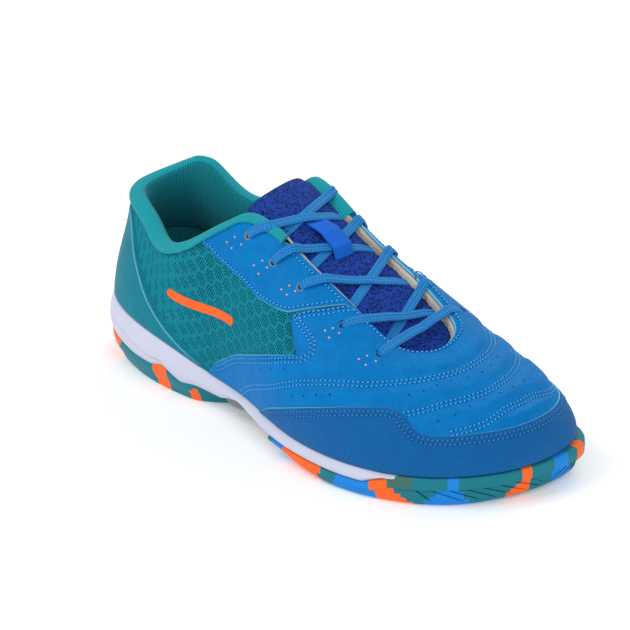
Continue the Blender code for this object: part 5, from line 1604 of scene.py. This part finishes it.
def makeStitches(name, seams, finish):
    threads, holes = [], []
    for seam in seams:
        found = seamRows(*seam)
        threads += found[0]
        holes += found[1]
    thread = bmesh.new()
    bmesh.ops.create_uvsphere(thread, u_segments=6, v_segments=5, radius=1.0,
                              matrix=Matrix.Rotation(math.pi / 2, 4, "Y"))
    bmesh.ops.scale(thread, vec=(stitch["length"] / 2, stitch["width"] / 2, stitch["height"]),
                    verts=thread.verts)
    bmesh.ops.rotate(thread, cent=(0, 0, 0), matrix=Matrix.Rotation(stitch["slant"], 3, "Z"),
                     verts=thread.verts)
    addPiece(name, scattered(thread, threads), [finish], sharp=3.0)
    # dark discs between the stitches: painted shade in the needle holes
    hole = bmesh.new()
    bmesh.ops.create_cone(hole, cap_ends=True, segments=6, radius1=stitch["hole"],
                          radius2=stitch["hole"] * 0.8, depth=0.16 * mm)
    bmesh.ops.scale(hole, vec=(1.7, 1.0, 1.0), verts=hole.verts)
    addPiece(name + "NeedleShade", scattered(hole, holes), [finishes["needleShade"]])


def sidesOf(rows, offset, lift, relief=False):
    return [(rows, offset, lift, relief), (mirrorRows(rows), offset, lift, relief)]


def makeAllStitches():
    rear, side, front = (outlines[name] for name in ("guardRear", "guardSide", "guardFront"))
    guard = []
    for offset in stitch["guardIn"]:
        guard += sidesOf(rear[1:] + side[1:] + front[1:], -offset, suedeTop + 0.00045)
    makeStitches("toeGuardStitches", guard, finishes["guardThread"])
    vamp = []
    for rows in vampSeams:
        for offset in (-stitch["seamApart"], stitch["seamApart"]):
            vamp.append((rows, offset, stitchTop, True))
    tip, wing, notch = (outlines[name] for name in ("wingTip", "wingRear", "wingNotch"))
    wingEdge = tip[1:] + wing[1:] + notch[1:-1] + ((6.96, 0.965),)
    for offset in stitch["wingIn"]:
        vamp += sidesOf(wingEdge, -offset, stitchTop, True)
    throat = alongOutline(levelRows(7.12, stations - 7.12, 1.0), 40)
    vamp.append((throat, -stitch["throatIn"], stitchTop, True))
    makeStitches("vampStitches", vamp, finishes["thread"])
    low = outlines["eyestayLow"]
    stay = sidesOf(low[1:-1] + ((6.84, 0.915),), stitch["wingIn"][0], stitchTop)
    stay += sidesOf(levelRows(5.98, 6.88, 1.0), -stitch["throatIn"], stitchTop)
    makeStitches("eyestayStitches", stay, finishes["thread"])


makeAllStitches()
print("stitches made")

details = {
    "dotGroups": (((4.77, 0.83), (4.93, 0.85), (5.09, 0.81), (4.90, 0.79)),
                  ((5.41, 0.74), (5.55, 0.79), (5.66, 0.78), (5.53, 0.72)),
                  ((5.99, 0.75), (6.10, 0.80), (6.21, 0.80), (6.10, 0.75)),
                  ((6.81, 0.73), (6.91, 0.77), (7.02, 0.77), (6.89, 0.71)),
                  ((7.39, 0.70), (7.52, 0.75), (7.68, 0.75), (7.51, 0.69))),
    "dot": 0.62 * mm,
    "pinhole": 0.50 * mm,
    # rows of pinholes: where the row runs and how many it has
    "pinRows": ((((5.40, 0.25), (5.80, 0.335), (6.22, 0.42)), 4),
                (((6.35, 0.31), (6.66, 0.37), (6.97, 0.43)), 4),
                (((8.24, 0.61), (9.30, 0.75), (10.69, 0.76)), 8),
                (((8.57, 0.45), (9.75, 0.60), (10.89, 0.57)), 8)),
    "mark": ((3.25, 0.555), (4.10, 0.492), (4.95, 0.425)),
    "markHalf": 2.2 * mm,
    # how far each welt stands off the counter's edge, and its radius
    "welts": ((1.4 * mm, 0.50 * mm), (3.1 * mm, 0.42 * mm)),
}


def discMatrices(spots, lift, relief):
    spots = np.array(spots, float)
    high = lift + (vampRelief(spots[:, 0], spots[:, 1]) if relief else 0)
    places, normals = onWall(spots[:, 0], spots[:, 1], high), wallNormal(spots[:, 0], spots[:, 1])
    return [frameMatrix(p, unit(np.cross(n, (0.0, 1.0, 0.3))), n) for p, n in zip(places, normals)]


def makeDiscs(name, spots, radius, lift, depth, finish, relief=False):
    disc = bmesh.new()
    bmesh.ops.create_cone(disc, cap_ends=True, segments=12, radius1=radius, radius2=radius * 0.85,
                          depth=depth)
    addPiece(name, scattered(disc, discMatrices(spots, lift, relief)), [finish])


def makeDetails():
    dots = [spot for group in details["dotGroups"] for spot in group]
    dots += [(stations - station, share) for station, share in dots]
    onVamp = [spot for spot in dots if 6.6 < spot[0] < stations - 6.6]
    onStay = [spot for spot in dots if spot not in onVamp]
    for label, spots, relief in (("eyestay", onStay, False), ("vamp", onVamp, True)):
        makeDiscs(label + "Dots", spots, details["dot"], leatherTop, 0.12 * mm, finishes["dot"],
                  relief)
        makeDiscs(label + "DotCentres", spots, details["dot"] * 0.62, leatherTop + 0.08 * mm, 0.06 * mm,
                  finishes["dotCentre"], relief)
    pins = []
    for rows, count in details["pinRows"]:
        spots = [tuple(spot) for spot in alongOutline(rows, count)]
        pins += spots
        if rows[0][0] < 7:
            pins += [(stations - station, share) for station, share in spots]
    # the pinholes are dark discs: painted shade in the holes
    makeDiscs("vampPinholeShades", pins, details["pinhole"], leatherTop + 0.01 * mm, 0.08 * mm, finishes["pinholeShade"],
              True)
    # a plain bar of film on the mesh, rounded at both ends
    line = alongOutline(details["mark"], 60)
    length = lengthsAlong(onWall(line[:, 0], line[:, 1]))
    end = np.minimum(length, length[-1] - length)
    wide = details["markHalf"] * roundedRise(end, details["markHalf"])
    high, low = offsetRows(details["mark"], 1.0, 60) - line, line
    parts = low - high * wide[:, None], low + high * wide[:, None]
    count = len(line)
    for name, turn in (("sideBarOuter", False), ("sideBarInner", True)):
        share = np.linspace(0, 1, 9)[None, :, None]
        outline = parts[0][:, None] * (1 - share) + parts[1][:, None] * share
        if turn:
            outline = np.stack([stations - outline[::-1, :, 0], outline[::-1, :, 1]], -1)
        base = quarter["lift"] + quarter["thick"]
        edge = np.minimum(share[..., 0], 1 - share[..., 0]) * 2 * details["markHalf"] + np.zeros((count, 9))
        top = onWall(outline[..., 0], outline[..., 1], base + 0.3 * mm * roundedRise(edge, 0.3 * mm))
        bottom = onWall(outline[..., 0], outline[..., 1], base - 0.1 * mm)
        points = np.concatenate([top, bottom[:, ::-1], top[:, :1]], axis=1)
        addPiece(name, gridShape(points, capEnds=True), [finishes["film"]])


def makeWelts():
    # raised seams in front of the counter's edge
    edge = outlines["counterTop"][1:]
    joined = bmesh.new()
    for offset, radius in details["welts"]:
        for rows in (edge, mirrorRows(edge)):
            found = offsetRows(rows, offset, 120)
            path = onWall(found[:, 0], found[:, 1], 0.55 * mm)
            tube = tubeShape(path, radius, wallNormal(found[:, 0], found[:, 1]))
            part = bpy.data.meshes.new("part")
            tube.to_mesh(part)
            tube.free()
            joined.from_mesh(part)
            bpy.data.meshes.remove(part)
    addPiece("counterWelts", joined, [finishes["counter"]])


makeDetails()
makeWelts()
print("details made")
